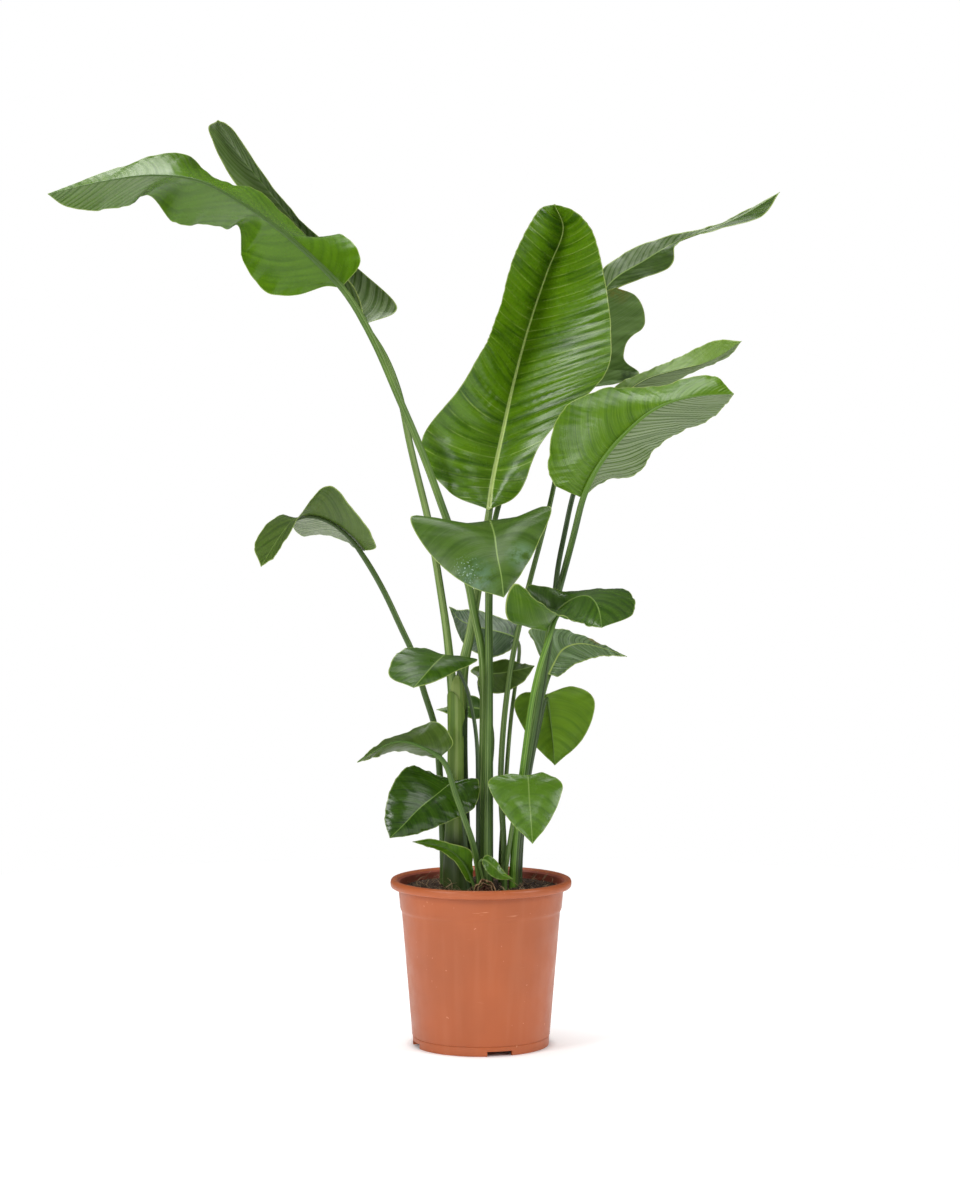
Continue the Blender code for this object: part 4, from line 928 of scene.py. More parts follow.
def soil_finish():
    """Damp compost: near-black crumbs, brown fibres of peat and a few paler bits."""
    soil = Finish("damp_compost", 0.9)
    crumbs = soil.clouds(soil.place, 140.0, 6.0, 0.7)
    colour = soil.mix(soil.grade(crumbs, 0.35, 0.65), (0.014, 0.008, 0.005), (0.075, 0.043, 0.024))
    turned = soil.stretched((60.0, 420.0, 160.0), (0.4, 0.9, 0.3))
    fibres = soil.grade(soil.clouds(turned, 1.0, 3.0, 0.6), 0.62, 0.74)
    colour = soil.tint(colour, fibres, 0.6, (0.15, 0.085, 0.045))
    bits = soil.grade(soil.clouds(soil.place, 260.0, 1.0), 0.74, 0.79)
    soil.set("Base Color", soil.mix(bits, colour, (0.26, 0.19, 0.12)))
    soil.set("Roughness", soil.grade(crumbs, 0.3, 0.7, 0.82, 0.98))
    soil.set("Normal", soil.relief(crumbs, 0.002, 0.9))
    return soil.material


def fibre_finish(name, dark, light, roughness=0.8):
    """Dry plant fibre and husk: streaks along its grain between two browns."""
    fibre = Finish(name, roughness)
    streaks = fibre.clouds(fibre.stretched((420.0, 420.0, 60.0)), 1.0, 4.0, 0.65)
    blotches = fibre.clouds(fibre.place, 70.0)
    tone = fibre.scaled_sum(streaks, 0.6, fibre.times(blotches, 0.4))
    fibre.set("Base Color", fibre.mix(fibre.grade(tone, 0.36, 0.64), dark, light))
    fibre.set("Normal", fibre.relief(streaks, 0.0004, 0.6))
    return fibre.material


def floor_finish():
    """White studio paper that glows away from the pot so that it runs into the white behind; no glow
    round the pot's foot, which paints a contact shadow there.
    """
    paper = Finish("studio_paper_glow", 0.7)
    tooth = paper.grade(paper.clouds(paper.place, 3.0, 4.0), 0.3, 0.7)
    paper.set("Base Color", paper.mix(tooth, (0.88, 0.88, 0.88), (0.92, 0.92, 0.92)))
    paper.set("Normal", paper.relief(paper.clouds(paper.place, 900.0, 2.0), 0.0002, 0.2))
    paper.set("Emission Color", WHITE)
    reach = paper.add("VectorMath", paper.place, operation="LENGTH").outputs["Value"]
    # No glow within the pot's foot and a fade just outside it: a painted contact shadow round the pot.
    paper.set("Emission Strength", paper.grade(reach, 0.084, 0.104, 0.0, 0.42))
    return paper.material


PALE = (0.34, 0.44, 0.11)
DIM = (0.16, 0.26, 0.05)
SOFT = (0.22, 0.33, 0.08)
# Dark crease lines: painted shade in the pleats' creases.
CREASE_SHADE = (0.010, 0.030, 0.010)
ASH_DARK = (0.040, 0.078, 0.014)
ASH_LIGHT = (0.26, 0.32, 0.18)
SPECK = (0.34, 0.46, 0.36)
# Near-black green at the stem's foot: its own dark colour, with painted shade from the leaves above.
FOOT_GREEN_AND_SHADE = (0.014, 0.030, 0.005)
WHITE = (1.0, 1.0, 1.0, 1.0)
STALK_ROUGHNESS = 0.42

# The greens of the blades' faces, each from dark through body to light, with its midrib's colour
LEAF_GREENS = {
    "pleated": leaf_finish("leaf_top_pleated", (0.034, 0.095, 0.001), (0.085, 0.190, 0.002),
                           (0.18, 0.32, 0.015), (0.52, 0.64, 0.22), 0.25, rib=(0.0040, 0.0010),
                           lines=(0.60, (0.30, 0.43, 0.09), 0.060), gloss=0.4),
    "rich": leaf_finish("leaf_top_rich", (0.035, 0.100, 0.002), (0.075, 0.175, 0.004),
                        (0.16, 0.30, 0.015), DIM, 0.27, rib=(0.0014, 0.0006), edging=0.35),
    "satin": leaf_finish("leaf_top_satin", (0.050, 0.120, 0.008), (0.085, 0.180, 0.013),
                         (0.15, 0.28, 0.03), SOFT, 0.24, rib=(0.0013, 0.0005), stripe=0.1, edging=0.5),
    "deep": leaf_finish("leaf_top_deep", (0.022, 0.065, 0.002), (0.048, 0.115, 0.005),
                        (0.10, 0.19, 0.02), SOFT, 0.33, rib=(0.0015, 0.0006)),
    "olive": leaf_finish("leaf_top_olive", (0.036, 0.072, 0.007), (0.066, 0.118, 0.014),
                         (0.11, 0.18, 0.03), SOFT, 0.36, rib=(0.0013, 0.0005), gloss=0.35),
    "bloom_and_sheen": leaf_finish("leaf_top_bloom_and_sheen", (0.040, 0.090, 0.007), (0.064, 0.130, 0.014),
                           (0.09, 0.17, 0.03), SOFT, 0.34, rib=(0.0017, 0.0007), gloss=0.35, stripe=0.12,
                           # The two grey-green patches are painted sheen; the pale specks among them are
                           # the leaf's own bloom.
                           patches=(((-0.005, -0.112, 0.622), 0.036, (0.13, 0.24, 0.16), 0.55),
                                    ((0.052, -0.100, 0.650), 0.028, (0.20, 0.32, 0.22), 0.50)),
                           specks=((-0.018, -0.108, 0.632), 0.026)),
    "striped": leaf_finish("leaf_top_striped", (0.030, 0.066, 0.022), (0.075, 0.125, 0.055),
                           (0.20, 0.27, 0.16), SOFT, 0.36, rib=(0.0012, 0.0005),
                           lines=(0.9, CREASE_SHADE, 0.20), blush=0.5, gloss=0.35),
    "browned": leaf_finish("leaf_top_browned", (0.060, 0.115, 0.034), (0.130, 0.205, 0.080),
                           (0.30, 0.40, 0.25), PALE, 0.36, rib=(0.0018, 0.0006),
                           lines=(0.6, CREASE_SHADE, 0.15), blush=0.6, gloss=0.35,
                           patches=(((0.155, 0.084, 0.533), 0.014, (0.30, 0.14, 0.03), 0.9),)),
    "gloss": leaf_finish("leaf_top_gloss", (0.010, 0.034, 0.001), (0.026, 0.068, 0.002),
                         (0.06, 0.13, 0.01), DIM, 0.20, rib=(0.0011, 0.0005), gloss=0.45, edging=0.4),
    "veined": leaf_finish("leaf_top_veined", (0.030, 0.070, 0.005), (0.058, 0.115, 0.010),
                          (0.14, 0.22, 0.05), SOFT, 0.34, rib=(0.0013, 0.0005),
                          ashen=(0.25, 0.45, -0.2), gloss=0.35),
    "sunlit": leaf_finish("leaf_top_bright", (0.065, 0.150, 0.004), (0.115, 0.220, 0.008),
                          (0.18, 0.30, 0.02), PALE, 0.40, rib=(0.0012, 0.0005)),
    "two_tone_dark": leaf_finish("leaf_two_tone_dark", (0.026, 0.060, 0.004), (0.048, 0.098, 0.008),
                                 (0.10, 0.17, 0.03), SOFT, 0.34, rib=(0.0013, 0.0005),
                                 ashen=(0.35, 0.0, -0.2), gloss=0.35),
    "fresh": leaf_finish("leaf_under_fresh", (0.040, 0.110, 0.002), (0.072, 0.170, 0.004),
                         (0.14, 0.26, 0.02), SOFT, 0.34, 0.5, 0.25, rib=(0.0012, 0.0005), gloss=0.25),
    "glossy": leaf_finish("leaf_under_glossy", (0.050, 0.125, 0.001), (0.078, 0.178, 0.002),
                          (0.13, 0.26, 0.01), DIM, 0.25, 0.2, 0.08, rib=(0.0006, 0.0003), gloss=0.30,
                          ashen=(0.38, 0.38, 0.66)),
    "lime": leaf_finish("leaf_under_lime", (0.075, 0.165, 0.002), (0.120, 0.235, 0.006),
                        (0.18, 0.31, 0.03), SOFT, 0.42, 0.3, 0.12, rib=(0.0008, 0.0004), gloss=0.3),
    "bright": leaf_finish("leaf_under_bright", (0.035, 0.095, 0.002), (0.058, 0.135, 0.003),
                          (0.17, 0.30, 0.04), SOFT, 0.36, 0.5, 0.20, rib=(0.0010, 0.0004), gloss=0.22),
    "grey": leaf_finish("leaf_under_grey", (0.045, 0.095, 0.012), (0.085, 0.145, 0.030),
                        (0.20, 0.28, 0.11), SOFT, 0.42, 0.6, 0.50, rib=(0.0010, 0.0004), gloss=0.35),
    "sage": leaf_finish("leaf_under_sage", (0.110, 0.195, 0.040), (0.160, 0.270, 0.065),
                        (0.26, 0.37, 0.15), SOFT, 0.42, 0.5, 0.20, rib=(0.0010, 0.0004), gloss=0.35,
                        lines=(0.6, (0.26, 0.36, 0.18), 0.060),
                        # The brown patch is a dry spot; the near-black one is a painted shadow where the
                        # narrow leaf lies just in front.
                        patches=(((0.185, 0.056, 1.000), 0.020, (0.24, 0.17, 0.02), 0.9),
                                 ((0.195, 0.046, 0.886), 0.020, (0.020, 0.045, 0.008), 0.8))),
    "shaded": leaf_finish("leaf_under_shaded", (0.045, 0.090, 0.008), (0.075, 0.130, 0.016),
                          (0.12, 0.20, 0.03), SOFT, 0.40, 0.4, 0.15, rib=(0.0010, 0.0004),
                          ashen=(0.05, 0.95, -0.2), gloss=0.3),
    "two_tone": leaf_finish("leaf_two_tone_left", (0.050, 0.125, 0.001), (0.085, 0.185, 0.003),
                            (0.19, 0.32, 0.02), SOFT, 0.34, 0.5, 0.20, rib=(0.0010, 0.0004),
                            ashen=(0.8, 0.0, -0.2), gloss=0.35,
                            lines=(0.45, (0.22, 0.36, 0.04), 0.060)),
    "two_tone_right": leaf_finish("leaf_two_tone_right", (0.085, 0.170, 0.008), (0.130, 0.235, 0.018),
                                  (0.22, 0.33, 0.06), PALE, 0.36, 0.5, 0.20, rib=(0.0010, 0.0004),
                                  ashen=(0.0, 0.7, -0.2), gloss=0.35),
}
MARGIN = margin_finish()

# The greens of the stalks and the stem, each from dark through body to light
STEM_GREENS = {
    "light": stem_finish("stalk_light", (0.060, 0.130, 0.015), (0.130, 0.230, 0.035),
                         (0.30, 0.40, 0.13), keel_green=(0.035, 0.090, 0.004)),
    "vivid": stem_finish("stalk_vivid", (0.050, 0.140, 0.004), (0.105, 0.240, 0.008), (0.22, 0.38, 0.05)),
    "mid": stem_finish("stalk_mid", (0.035, 0.085, 0.010), (0.080, 0.155, 0.020), (0.20, 0.29, 0.08)),
    "shaded": stem_finish("stalk_shaded", (0.035, 0.080, 0.010), (0.075, 0.140, 0.020),
                          (0.18, 0.26, 0.08), keel_green=(0.028, 0.058, 0.006)),
    "hearted": stem_finish("stalk_hearted", (0.014, 0.036, 0.007), (0.036, 0.075, 0.014),
                           (0.11, 0.17, 0.06), keel_green=(0.100, 0.205, 0.006)),
    "keeled": stem_finish("stalk_keeled", (0.035, 0.085, 0.010), (0.080, 0.155, 0.020),
                          (0.20, 0.29, 0.08), keel_green=(0.095, 0.210, 0.006)),
    "dark": stem_finish("stalk_dark", (0.014, 0.036, 0.007), (0.036, 0.075, 0.014), (0.11, 0.17, 0.06)),
    "core": stem_finish("stem_core_green", (0.100, 0.180, 0.020), (0.190, 0.290, 0.040),
                        (0.32, 0.40, 0.12), foot=0.310),
    "left_sheath": stem_finish("sheath_green", (0.080, 0.150, 0.016), (0.150, 0.240, 0.030),
                               (0.26, 0.34, 0.10), foot=0.305),
    # The right sheath's darker greens are painted shade on the stem's right side.
    "right_sheath_shaded": stem_finish("sheath_painted_shade", (0.020, 0.045, 0.010), (0.045, 0.085, 0.016),
                                (0.10, 0.16, 0.04), foot=0.300),
}
POT_OUTSIDE = pot_finish("terracotta_plastic_outside", (0.430, 0.105, 0.030), (0.66, 0.28, 0.15), 0.40)
# The inside is the same plastic in darker colours: painted shade inside the pot.
POT_INSIDE_SHADED = pot_finish("terracotta_plastic_inside_shaded", (0.300, 0.062, 0.030), (0.40, 0.13, 0.08), 0.45)
COMPOST = soil_finish()
FIBRE = fibre_finish("peat_fibre", (0.120, 0.070, 0.036), (0.460, 0.330, 0.190))
BARK = fibre_finish("bark_brown", (0.020, 0.011, 0.007), (0.085, 0.048, 0.026), 0.9)
HUSK = fibre_finish("dry_husk_tan", (0.160, 0.075, 0.035), (0.480, 0.300, 0.160), 0.7)
# Near-black brown for the sheet in the husk's hollow: painted shade.
HUSK_HOLLOW_SHADE = fibre_finish("dry_husk_painted_shade", (0.050, 0.018, 0.010), (0.180, 0.075, 0.038), 0.8)


# ---------------------------------------------------------------- the pot, its compost, the stem

POT_STEPS = 192
POT_WALL = 0.0018
COLLAR_RADIUS = 0.1095
BODY_RADIUS = 0.1052
BASE_RADIUS = 0.0905
COLLAR_BOTTOM = 0.180
FLOOR_HEIGHT = 0.008
BOSS_RADIUS = 0.030
ROLL_WIDTH = 0.0095
NOTCH_ANGLES = (-74.0, 16.0, 106.0, 196.0)
NOTCH_WIDTH = 0.034
NOTCH_REACH = 0.020
NOTCH_HEIGHT = 0.0065

SOIL_RINGS = 60
SOIL_STEPS = 150
SOIL_DEPTH = 0.014
FIBRES = 640
FIBRE_STEPS = 4
FIBRE_REACH = 0.101
FIBRE_LIMIT = 0.103
CRUMBS = 260
CRUMB_REACH = 0.099

HUSK_SHEET = 0.0007
HUSK_RISE = 0.009
HUSK_FOOT = 0.002
TRUNK_SIDES = 48
TRUNK_RINGS = 90
TRUNK_STATIONS = np.array([0.0, 0.12, 0.3, 0.5, 0.72, 0.88, 0.94, 0.98, 1.0])
TRUNK_RADII = np.array([0.0180, 0.0188, 0.0162, 0.0134, 0.0122, 0.0124, 0.0120, 0.0098, 0.0055])
CORE_SHARE = 0.93
SHEATH_SHEET = 0.0010

# The pot's profile from the middle of its floor outwards and up, over the rim and back inside
POT_PROFILE = (
    (0.0, 0.0), (BOSS_RADIUS, 0.0), (BOSS_RADIUS + 0.001, 0.0006),
    (BOSS_RADIUS + 0.005, FLOOR_HEIGHT), (BASE_RADIUS - 0.0075, FLOOR_HEIGHT),
    (BASE_RADIUS - 0.0060, 0.0004), (BASE_RADIUS - 0.0055, 0.0), (BASE_RADIUS - 0.0008, 0.0),
    (BASE_RADIUS - 0.0002, 0.0003), (BASE_RADIUS, 0.0010),
    (BASE_RADIUS + 0.0002, 0.0112), (BASE_RADIUS + 0.0001, 0.0119), (BASE_RADIUS - 0.0003, 0.0122),
    (BASE_RADIUS - 0.0002, 0.0127), (BASE_RADIUS + 0.0006, 0.0131), (BASE_RADIUS + 0.0010, 0.0138),
    (BODY_RADIUS - 0.0003, COLLAR_BOTTOM - 0.0040), (BODY_RADIUS + 0.0001, COLLAR_BOTTOM - 0.0018),
    (BODY_RADIUS + 0.0008, COLLAR_BOTTOM - 0.0006), (BODY_RADIUS + 0.0014, COLLAR_BOTTOM + 0.0006),
    (BODY_RADIUS + 0.0018, COLLAR_BOTTOM + 0.0020), (BODY_RADIUS + 0.0021, COLLAR_BOTTOM + 0.0040),
    (COLLAR_RADIUS - 0.0002, 0.2060), (COLLAR_RADIUS, 0.2085), (COLLAR_RADIUS + 0.0008, 0.2093),
    (RIM_RADIUS - 0.0030, 0.2096), (RIM_RADIUS - 0.0018, 0.2099), (RIM_RADIUS - 0.0009, 0.2107),
    (RIM_RADIUS - 0.0003, 0.2120), (RIM_RADIUS, 0.2140), (RIM_RADIUS, 0.2165),
    (RIM_RADIUS - 0.0003, 0.2182), (RIM_RADIUS - 0.0009, 0.2195),
    (RIM_RADIUS - 0.0018, POT_HEIGHT - 0.0006), (RIM_RADIUS - 0.0030, POT_HEIGHT - 0.0001),
    (RIM_RADIUS - 0.0045, POT_HEIGHT), (RIM_RADIUS - 0.0060, POT_HEIGHT - 0.0003),
    (RIM_RADIUS - 0.0076, POT_HEIGHT - 0.0011), (RIM_RADIUS - 0.0092, POT_HEIGHT - 0.0024),
    (COLLAR_RADIUS - POT_WALL + 0.0004, POT_HEIGHT - 0.0045),
    (COLLAR_RADIUS - POT_WALL - 0.0003, POT_HEIGHT - 0.0070),
    (BODY_RADIUS + 0.0018 - POT_WALL, COLLAR_BOTTOM + 0.002),
    (BODY_RADIUS - POT_WALL, COLLAR_BOTTOM - 0.001),
    (BASE_RADIUS + 0.0008 - POT_WALL, FLOOR_HEIGHT + 0.003),
    (BASE_RADIUS - 0.0022 - POT_WALL, FLOOR_HEIGHT + POT_WALL), (0.0, FLOOR_HEIGHT + POT_WALL),
)


def turned_shape(profile, steps):
    """A solid of revolution about Z from a profile whose two ends lie on the axis."""
    shape = bmesh.new()
    corners = [shape.verts.new((radius, 0.0, height)) for radius, height in profile]
    edges = [shape.edges.new(pair) for pair in zip(corners, corners[1:])]
    bmesh.ops.spin(shape, geom=corners + edges, cent=(0, 0, 0), axis=(0, 0, 1),
                   angle=FULL_TURN, steps=steps, use_merge=True)
    bmesh.ops.remove_doubles(shape, verts=shape.verts, dist=0.00002)
    bmesh.ops.recalc_face_normals(shape, faces=shape.faces)
    return shape


def notch_blocks():
    """Four blocks across the foot ring, which cut the drain notches."""
    blocks = bmesh.new()
    for angle in NOTCH_ANGLES:
        made = bmesh.ops.create_cube(blocks, size=1.0)["verts"]
        turn = Matrix.Rotation(math.radians(angle), 3, "Z")
        bmesh.ops.scale(blocks, vec=(NOTCH_WIDTH, NOTCH_REACH, 2 * NOTCH_HEIGHT), verts=made)
        bmesh.ops.translate(blocks, vec=(0.0, -BASE_RADIUS + 0.002, 0.0), verts=made)
        bmesh.ops.rotate(blocks, cent=(0, 0, 0), matrix=turn, verts=made)
    return blocks


def make_pot():
    """The nursery pot: rolled rim, collar with its step, tapered wall, foot ring with notches."""
    shape = turned_shape(POT_PROFILE, POT_STEPS)
    # Faces inside the pot above its floor get the darker copy of the plastic: painted shade.
    for face in shape.faces:
        middle = face.calc_center_median()
        within = math.hypot(middle.x, middle.y) < RIM_RADIUS - ROLL_WIDTH
        inside = within and face.normal.xy.dot(middle.xy) < 0
        face.material_index = 1 if inside and middle.z > FLOOR_HEIGHT else 0
    pot = finished("pot_shell", shape, [POT_OUTSIDE, POT_INSIDE_SHADED], "pot")
    cutter = linked("notch_blocks", notch_blocks())
    cut = pot.modifiers.new("notches", "BOOLEAN")
    cut.operation = "DIFFERENCE"
    cut.solver = "EXACT"
    cut.object = cutter
    settle(pot, 35.0)
    bpy.data.objects.remove(cutter)


def wild(x, y, z, scale):
    """An uneven value between -1 and 1, which changes smoothly from place to place."""
    return noise.noise(Vector((x * scale, y * scale, z * scale)))


def soil_rise(x, y):
    """How far the loose compost stands above its level, hollowed round the stems."""
    return 0.0050 * float(smooth_step(0.020, 0.050, math.hypot(x, y)))


def soil_surface(x, y, share):
    """Height of the compost: lumps of three sizes, lower towards the pot's wall, where share is
    1, and a low bank round the stems."""
    lumps = 0.0030 * wild(x, y, 0.0, 55.0) + 0.0022 * wild(x, y, 1.0, 130.0)
    lumps += 0.0016 * abs(wild(x, y, 2.0, 260.0)) - 0.001
    bank = math.exp(-(math.hypot(x - 0.005, y) / 0.05) ** 2)
    return SOIL_TOP + lumps * (1.0 - 0.7 * share**6) + 0.0025 * bank + soil_rise(x, y)


def make_soil():
    """The compost: crumbs and hollows, loosely heaped towards the pot's wall."""
    shares = np.concatenate([np.linspace(0.0008, 1.0, SOIL_RINGS), [0.97, 0.96]])
    points = np.zeros((len(shares), SOIL_STEPS + 1, 3))
    for row, share in enumerate(shares):
        for column in range(SOIL_STEPS + 1):
            angle = FULL_TURN * (column % SOIL_STEPS) / SOIL_STEPS
            x, y = SOIL_RADIUS * share * math.cos(angle), SOIL_RADIUS * share * math.sin(angle)
            height = soil_surface(x, y, share) if row < SOIL_RINGS else SOIL_TOP - SOIL_DEPTH
            points[row, column] = (x, y, height)
    shape = laid_grid(points, closed=True)
    close_ends(shape)
    finished("compost", shape, [COMPOST], "soil", sharp=0, recalc=True)


def strewn(chance, reach, nearest):
    """A direction from the pot's axis and a distance, spread evenly over the soil."""
    return chance.uniform(0, FULL_TURN), reach * math.sqrt(chance.uniform(nearest, 1.0))


def moved_edges(shape, edges):
    """Extrudes the edges, and gives the new points and the new edges."""
    spread = bmesh.ops.extrude_edge_only(shape, edges=edges)["geom"]
    ring = [part for part in spread if isinstance(part, bmesh.types.BMVert)]
    return ring, [part for part in spread if isinstance(part, bmesh.types.BMEdge)]


def make_fibres(chance):
    """Peat fibres and a few pale root hairs lying in the compost."""
    fibres = bmesh.new()
    for _ in range(FIBRES):
        angle, reach = strewn(chance, FIBRE_REACH, 0.03)
        height = SOIL_TOP + chance.uniform(0, 0.002)
        start = Vector((reach * math.cos(angle), reach * math.sin(angle), height))
        start.z += soil_rise(start.x, start.y)
        heading, climb = chance.uniform(0, FULL_TURN), max(0.0, chance.uniform(-0.4, 1.1)) ** 2
        length, bend = chance.uniform(0.006, 0.020), chance.uniform(-2.2, 2.2)
        width = chance.uniform(0.00022, 0.0005)
        ring = bmesh.ops.create_circle(fibres, cap_ends=False, segments=3, radius=width)["verts"]
        bmesh.ops.translate(fibres, vec=start, verts=ring)
        edges = list({edge for vertex in ring for edge in vertex.link_edges})
        for step in range(FIBRE_STEPS):
            ring, edges = moved_edges(fibres, edges)
            turn = heading + bend * step / FIBRE_STEPS
            way = Vector((math.cos(turn), math.sin(turn), climb - 0.16 * step * climb))
            bmesh.ops.translate(fibres, vec=way * length / FIBRE_STEPS, verts=ring)
        end = sum((vertex.co for vertex in ring), Vector()) / len(ring)
        if end.xy.length > FIBRE_LIMIT:
            pull = 0.100 / end.xy.length
            bmesh.ops.scale(fibres, vec=(pull, pull, 1.0), verts=ring)
    bmesh.ops.remove_doubles(fibres, verts=fibres.verts, dist=1e-7)
    close_ends(fibres)
    finished("peat_fibres", fibres, [FIBRE], sharp=0, recalc=True)


def make_crumbs(chance):
    """Crumbs of bark lying on the compost."""
    bark = bmesh.new()
    for _ in range(CRUMBS):
        angle, reach = strewn(chance, CRUMB_REACH, 0.02)
        made = bmesh.ops.create_icosphere(bark, subdivisions=1, radius=1.0)["verts"]
        size = Vector(chance.uniform(0.0007, 0.0028, 3))
        turn = Matrix.Rotation(chance.uniform(0, math.pi), 3, "Z")
        height = SOIL_TOP + soil_rise(reach, 0.0) + 0.0006
        place = Vector((reach * math.cos(angle), reach * math.sin(angle), height))
        for vertex in made:
            jag = 1.0 + 0.3 * chance.uniform(-1.0, 1.0)
            corner = vertex.co * size * Vector((jag, jag, 0.6))
            vertex.co = place + turn @ corner
    finished("bark_crumbs", bark, [BARK], sharp=20.0)


def bent_points(turns, levels, place):
    """The points of a curved sheet: place(turn, level) gives each."""
    return np.array([[place(turn, level) for turn in turns] for level in levels])


def make_husk():
    """Curled layers of dry sheath: an open arch at the front of the stems, round a near-black sheet
    in its hollow that is painted shade.
    """
    half = HUSK_HALF_WIDTH
    tall = HUSK_HIGH.z - SOIL_TOP + HUSK_RISE
    # The third layer closes the hollow with near-black colour: painted shade in the hollow.
    layers = (("dry_husk", 1.0, 0.12, 0.0, HUSK, "husk"),
              ("dry_husk_inner", 0.80, 0.20, 3.0, HUSK, None),
              ("husk_hollow_shade_sheet", 0.66, 0.92, 6.0, HUSK_HOLLOW_SHADE, None))
    for name, scale, closing, seed, finish, node in layers:

        def place(turn, depth):
            round_arch = math.pi * (0.5 + 0.5 * turn)
            frayed = 1.0 + 0.16 * wild(turn * 2.4, seed, depth, 1.7)
            frayed = frayed + 0.06 * wild(turn * 9.0, seed, depth, 2.0)
            size = scale * (1.0 - closing * depth**1.5) * frayed
            front = -0.0045 + 0.002 * wild(turn * 3.0, seed, 5.0, 1.6)
            height = (tall + HUSK_FOOT) * min(size, 1.15) * math.sin(round_arch)
            return (HUSK_CENTER.x + half * min(size, 1.0) * math.cos(round_arch),
                    HUSK_CENTER.y + front + 0.010 * depth + 0.3 * (1.0 - scale) * half,
                    SOIL_TOP - HUSK_FOOT + height)

        points = bent_points(np.linspace(-1, 1, 49), np.linspace(0, 1, 11), place)
        layer = finished(name, laid_grid(points), [finish], node)
        thicken(layer, HUSK_SHEET)


def girth(share):
    """The radius of the trunk's core at that share of its height."""
    where = np.clip(share, 0.0, 1.0).ravel()
    return blend(TRUNK_RADII, TRUNK_STATIONS, where).reshape(np.shape(share)) * CORE_SHARE


def core_section(shares, angles):
    """The core's radius, a little lobed."""
    lobes = 0.0007 * np.cos(2 * angles + 0.6) + 0.0004 * np.cos(5 * angles + shares * 4.0)
    return girth(shares) + lobes


def make_trunk():
    """The sheathed stem: a core and two wrapping sheaths with free edges."""
    tall = TRUNK_TOP - SOIL_TOP
    heights = np.linspace(-FOOT_DEPTH, tall, TRUNK_RINGS)
    line = np.array([(TRUNK_CENTER.x, TRUNK_CENTER.y, SOIL_TOP + height) for height in heights])
    rings, grain = swept_rings(line, np.array([[0.0, -1.0, 0.0]]), TRUNK_SIDES, core_section)
    core = laid_grid(rings, closed=True, values={"grain": grain})
    close_ends(core)
    core_green = STEM_GREENS["core"]
    finished("stem_core", core, [core_green], "left_trunk", recalc=True)
    # The right sheath takes the darker greens: painted shade on that side of the stem.
    wraps = (("stem_sheath_left", 2.5, 5.45, 0.93, 0.0008, "left_sheath"),
             ("stem_sheath_right", -1.0, 1.15, 0.86, 0.0006, "right_sheath_shaded"))
    for name, start, end, top, proud, green in wraps:

        def place(turn, level):
            share = level * top
            angle = start + (end - start) * turn + 0.25 * (level - 0.5) * (turn - 0.5)
            lift = proud * (0.4 + 1.2 * math.sin(math.pi * turn)) + 0.0004
            flare = 0.0022 * max(0.0, level - 0.9) * 10.0 * abs(turn - 0.5)
            radius = float(girth(np.array([share]))[0]) + lift + flare
            tip = -0.030 * (2.0 * turn - 1.0) ** 2 * float(smooth_step(0.75, 1.0, level)) * top
            height = SOIL_TOP - FOOT_DEPTH + share * (tall + FOOT_DEPTH) + tip
            return (TRUNK_CENTER.x + radius * math.cos(angle),
                    TRUNK_CENTER.y + radius * math.sin(angle), min(height, TRUNK_TOP + 0.02))

        turns = np.linspace(0, 1, 33)
        points = bent_points(turns, np.linspace(0, 1, 70), place)
        grain = np.zeros_like(points)
        grain[:, :, 0] = np.cos(turns * 3.0) * 0.5
        grain[:, :, 1] = np.sin(turns * 3.0)
        grain[:, :, 2] = points[:, :, 2]
        sheet = laid_grid(points, values={"grain": grain})
        sheath = finished(name, sheet, [STEM_GREENS[green]])
        thicken(sheath, SHEATH_SHEET)


# ---------------------------------------------------------------- studio

FLOOR_RADIUS = 1.8
FLOOR_SIDES = 128
FILLING_LIGHT = 0.15
SENSOR_WIDTH = 36.0
CAMERA_LENS = 89.43
CAMERA_PLACE = (-0.0013, -3.93, 0.79)
CAMERA_TILT = 2.91

# Each softbox: its place, what it points at, its width and height, its power
SOFTBOXES = {
    "softbox_left": ((-2.3, -1.9, 1.9), (0.0, 0.0, 0.7), (1.0, 1.6), 53.0),
    "softbox_right": ((2.5, -1.3, 1.5), (0.0, 0.0, 0.7), (0.9, 1.6), 37.0),
    "softbox_top": ((-0.3, 0.3, 3.2), (0.0, 0.0, 0.6), (1.8, 1.6), 60.0),
    "softbox_front": ((0.5, -3.6, 2.6), (0.0, 0.0, 0.6), (1.6, 1.0), 22.0),
    "softbox_low": ((-1.3, -2.9, 0.25), (-0.1, 0.0, 0.9), (0.5, 1.0), 12.0),
}


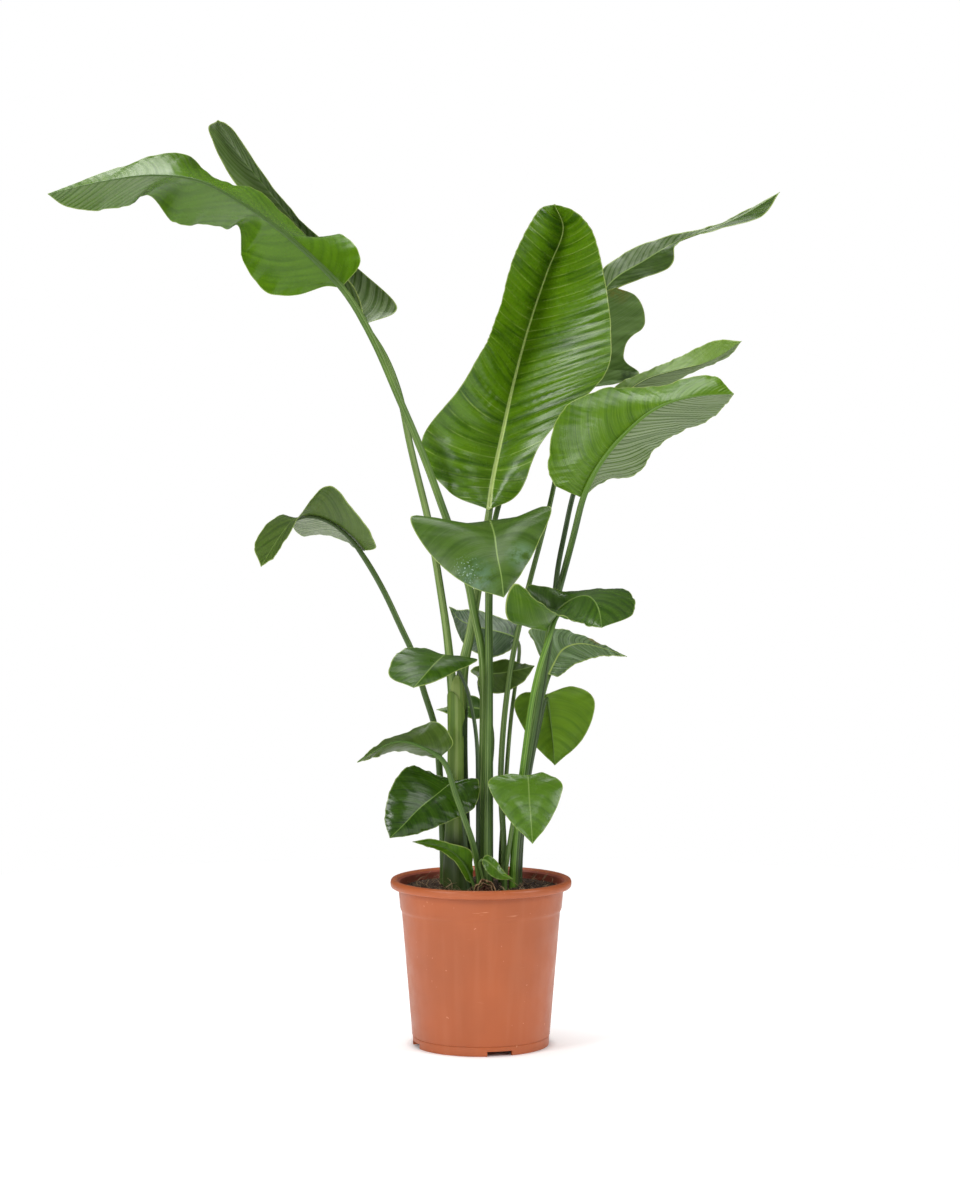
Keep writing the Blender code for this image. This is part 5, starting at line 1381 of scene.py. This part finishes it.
def make_floor():
    """A round sheet of studio paper under the pot."""
    sheet = bmesh.new()
    bmesh.ops.create_circle(sheet, cap_ends=True, segments=FLOOR_SIDES, radius=FLOOR_RADIUS)
    linked("studio_floor", sheet, [floor_finish()])


def make_softbox(name, place, aim, size, power):
    """A lamp with a rectangular face, turned towards its aim."""
    lamp = bpy.data.lights.new(name, "AREA")
    lamp.shape = "RECTANGLE"
    lamp.size, lamp.size_y = size
    lamp.energy = power
    made = bpy.data.objects.new(name, lamp)
    made.location = place
    made.rotation_euler = (Vector(aim) - Vector(place)).to_track_quat("-Z", "Y").to_euler()
    bpy.context.scene.collection.objects.link(made)


def light_studio():
    """White all round as the camera sees it, a weaker filling light from it, and the softboxes."""
    world = bpy.data.worlds.new("studio_white")
    bpy.context.scene.world = world
    world.use_nodes = True
    tree = world.node_tree
    seen = tree.nodes["Background"]
    seen.inputs["Color"].default_value = WHITE
    seen.inputs["Strength"].default_value = 1.0
    filling = put(tree, "Background", WHITE, FILLING_LIGHT)
    rays = put(tree, "LightPath").outputs["Is Camera Ray"]
    either = put(tree, "MixShader", rays, filling.outputs[0], seen.outputs[0])
    tree.links.new(either.outputs[0], tree.nodes["World Output"].inputs["Surface"])
    for name, settings in SOFTBOXES.items():
        make_softbox(name, *settings)
    bpy.context.scene.view_settings.view_transform = "Standard"


def set_camera():
    """The camera in front of the plant, tilted a little down."""
    lens = bpy.data.cameras.new("camera")
    lens.sensor_width = SENSOR_WIDTH
    lens.lens = CAMERA_LENS
    camera = bpy.data.objects.new("camera", lens)
    camera.location = CAMERA_PLACE
    camera.rotation_euler = (math.radians(90.0 - CAMERA_TILT), 0.0, 0.0)
    bpy.context.scene.collection.objects.link(camera)
    bpy.context.scene.camera = camera


# ---------------------------------------------------------------- making it all

set_camera()
light_studio()
make_floor()
make_pot()
make_soil()
litter_chance = np.random.default_rng(11)
make_fibres(litter_chance)
make_crumbs(litter_chance)
make_husk()
make_trunk()
for number, (title, leaf) in enumerate(LEAVES.items()):
    look = LOOKS[title]
    make_blade(title, leaf, look, 100 + number)
    make_stem(title, leaf, STEM_GREENS[look.get("stem", "mid")])
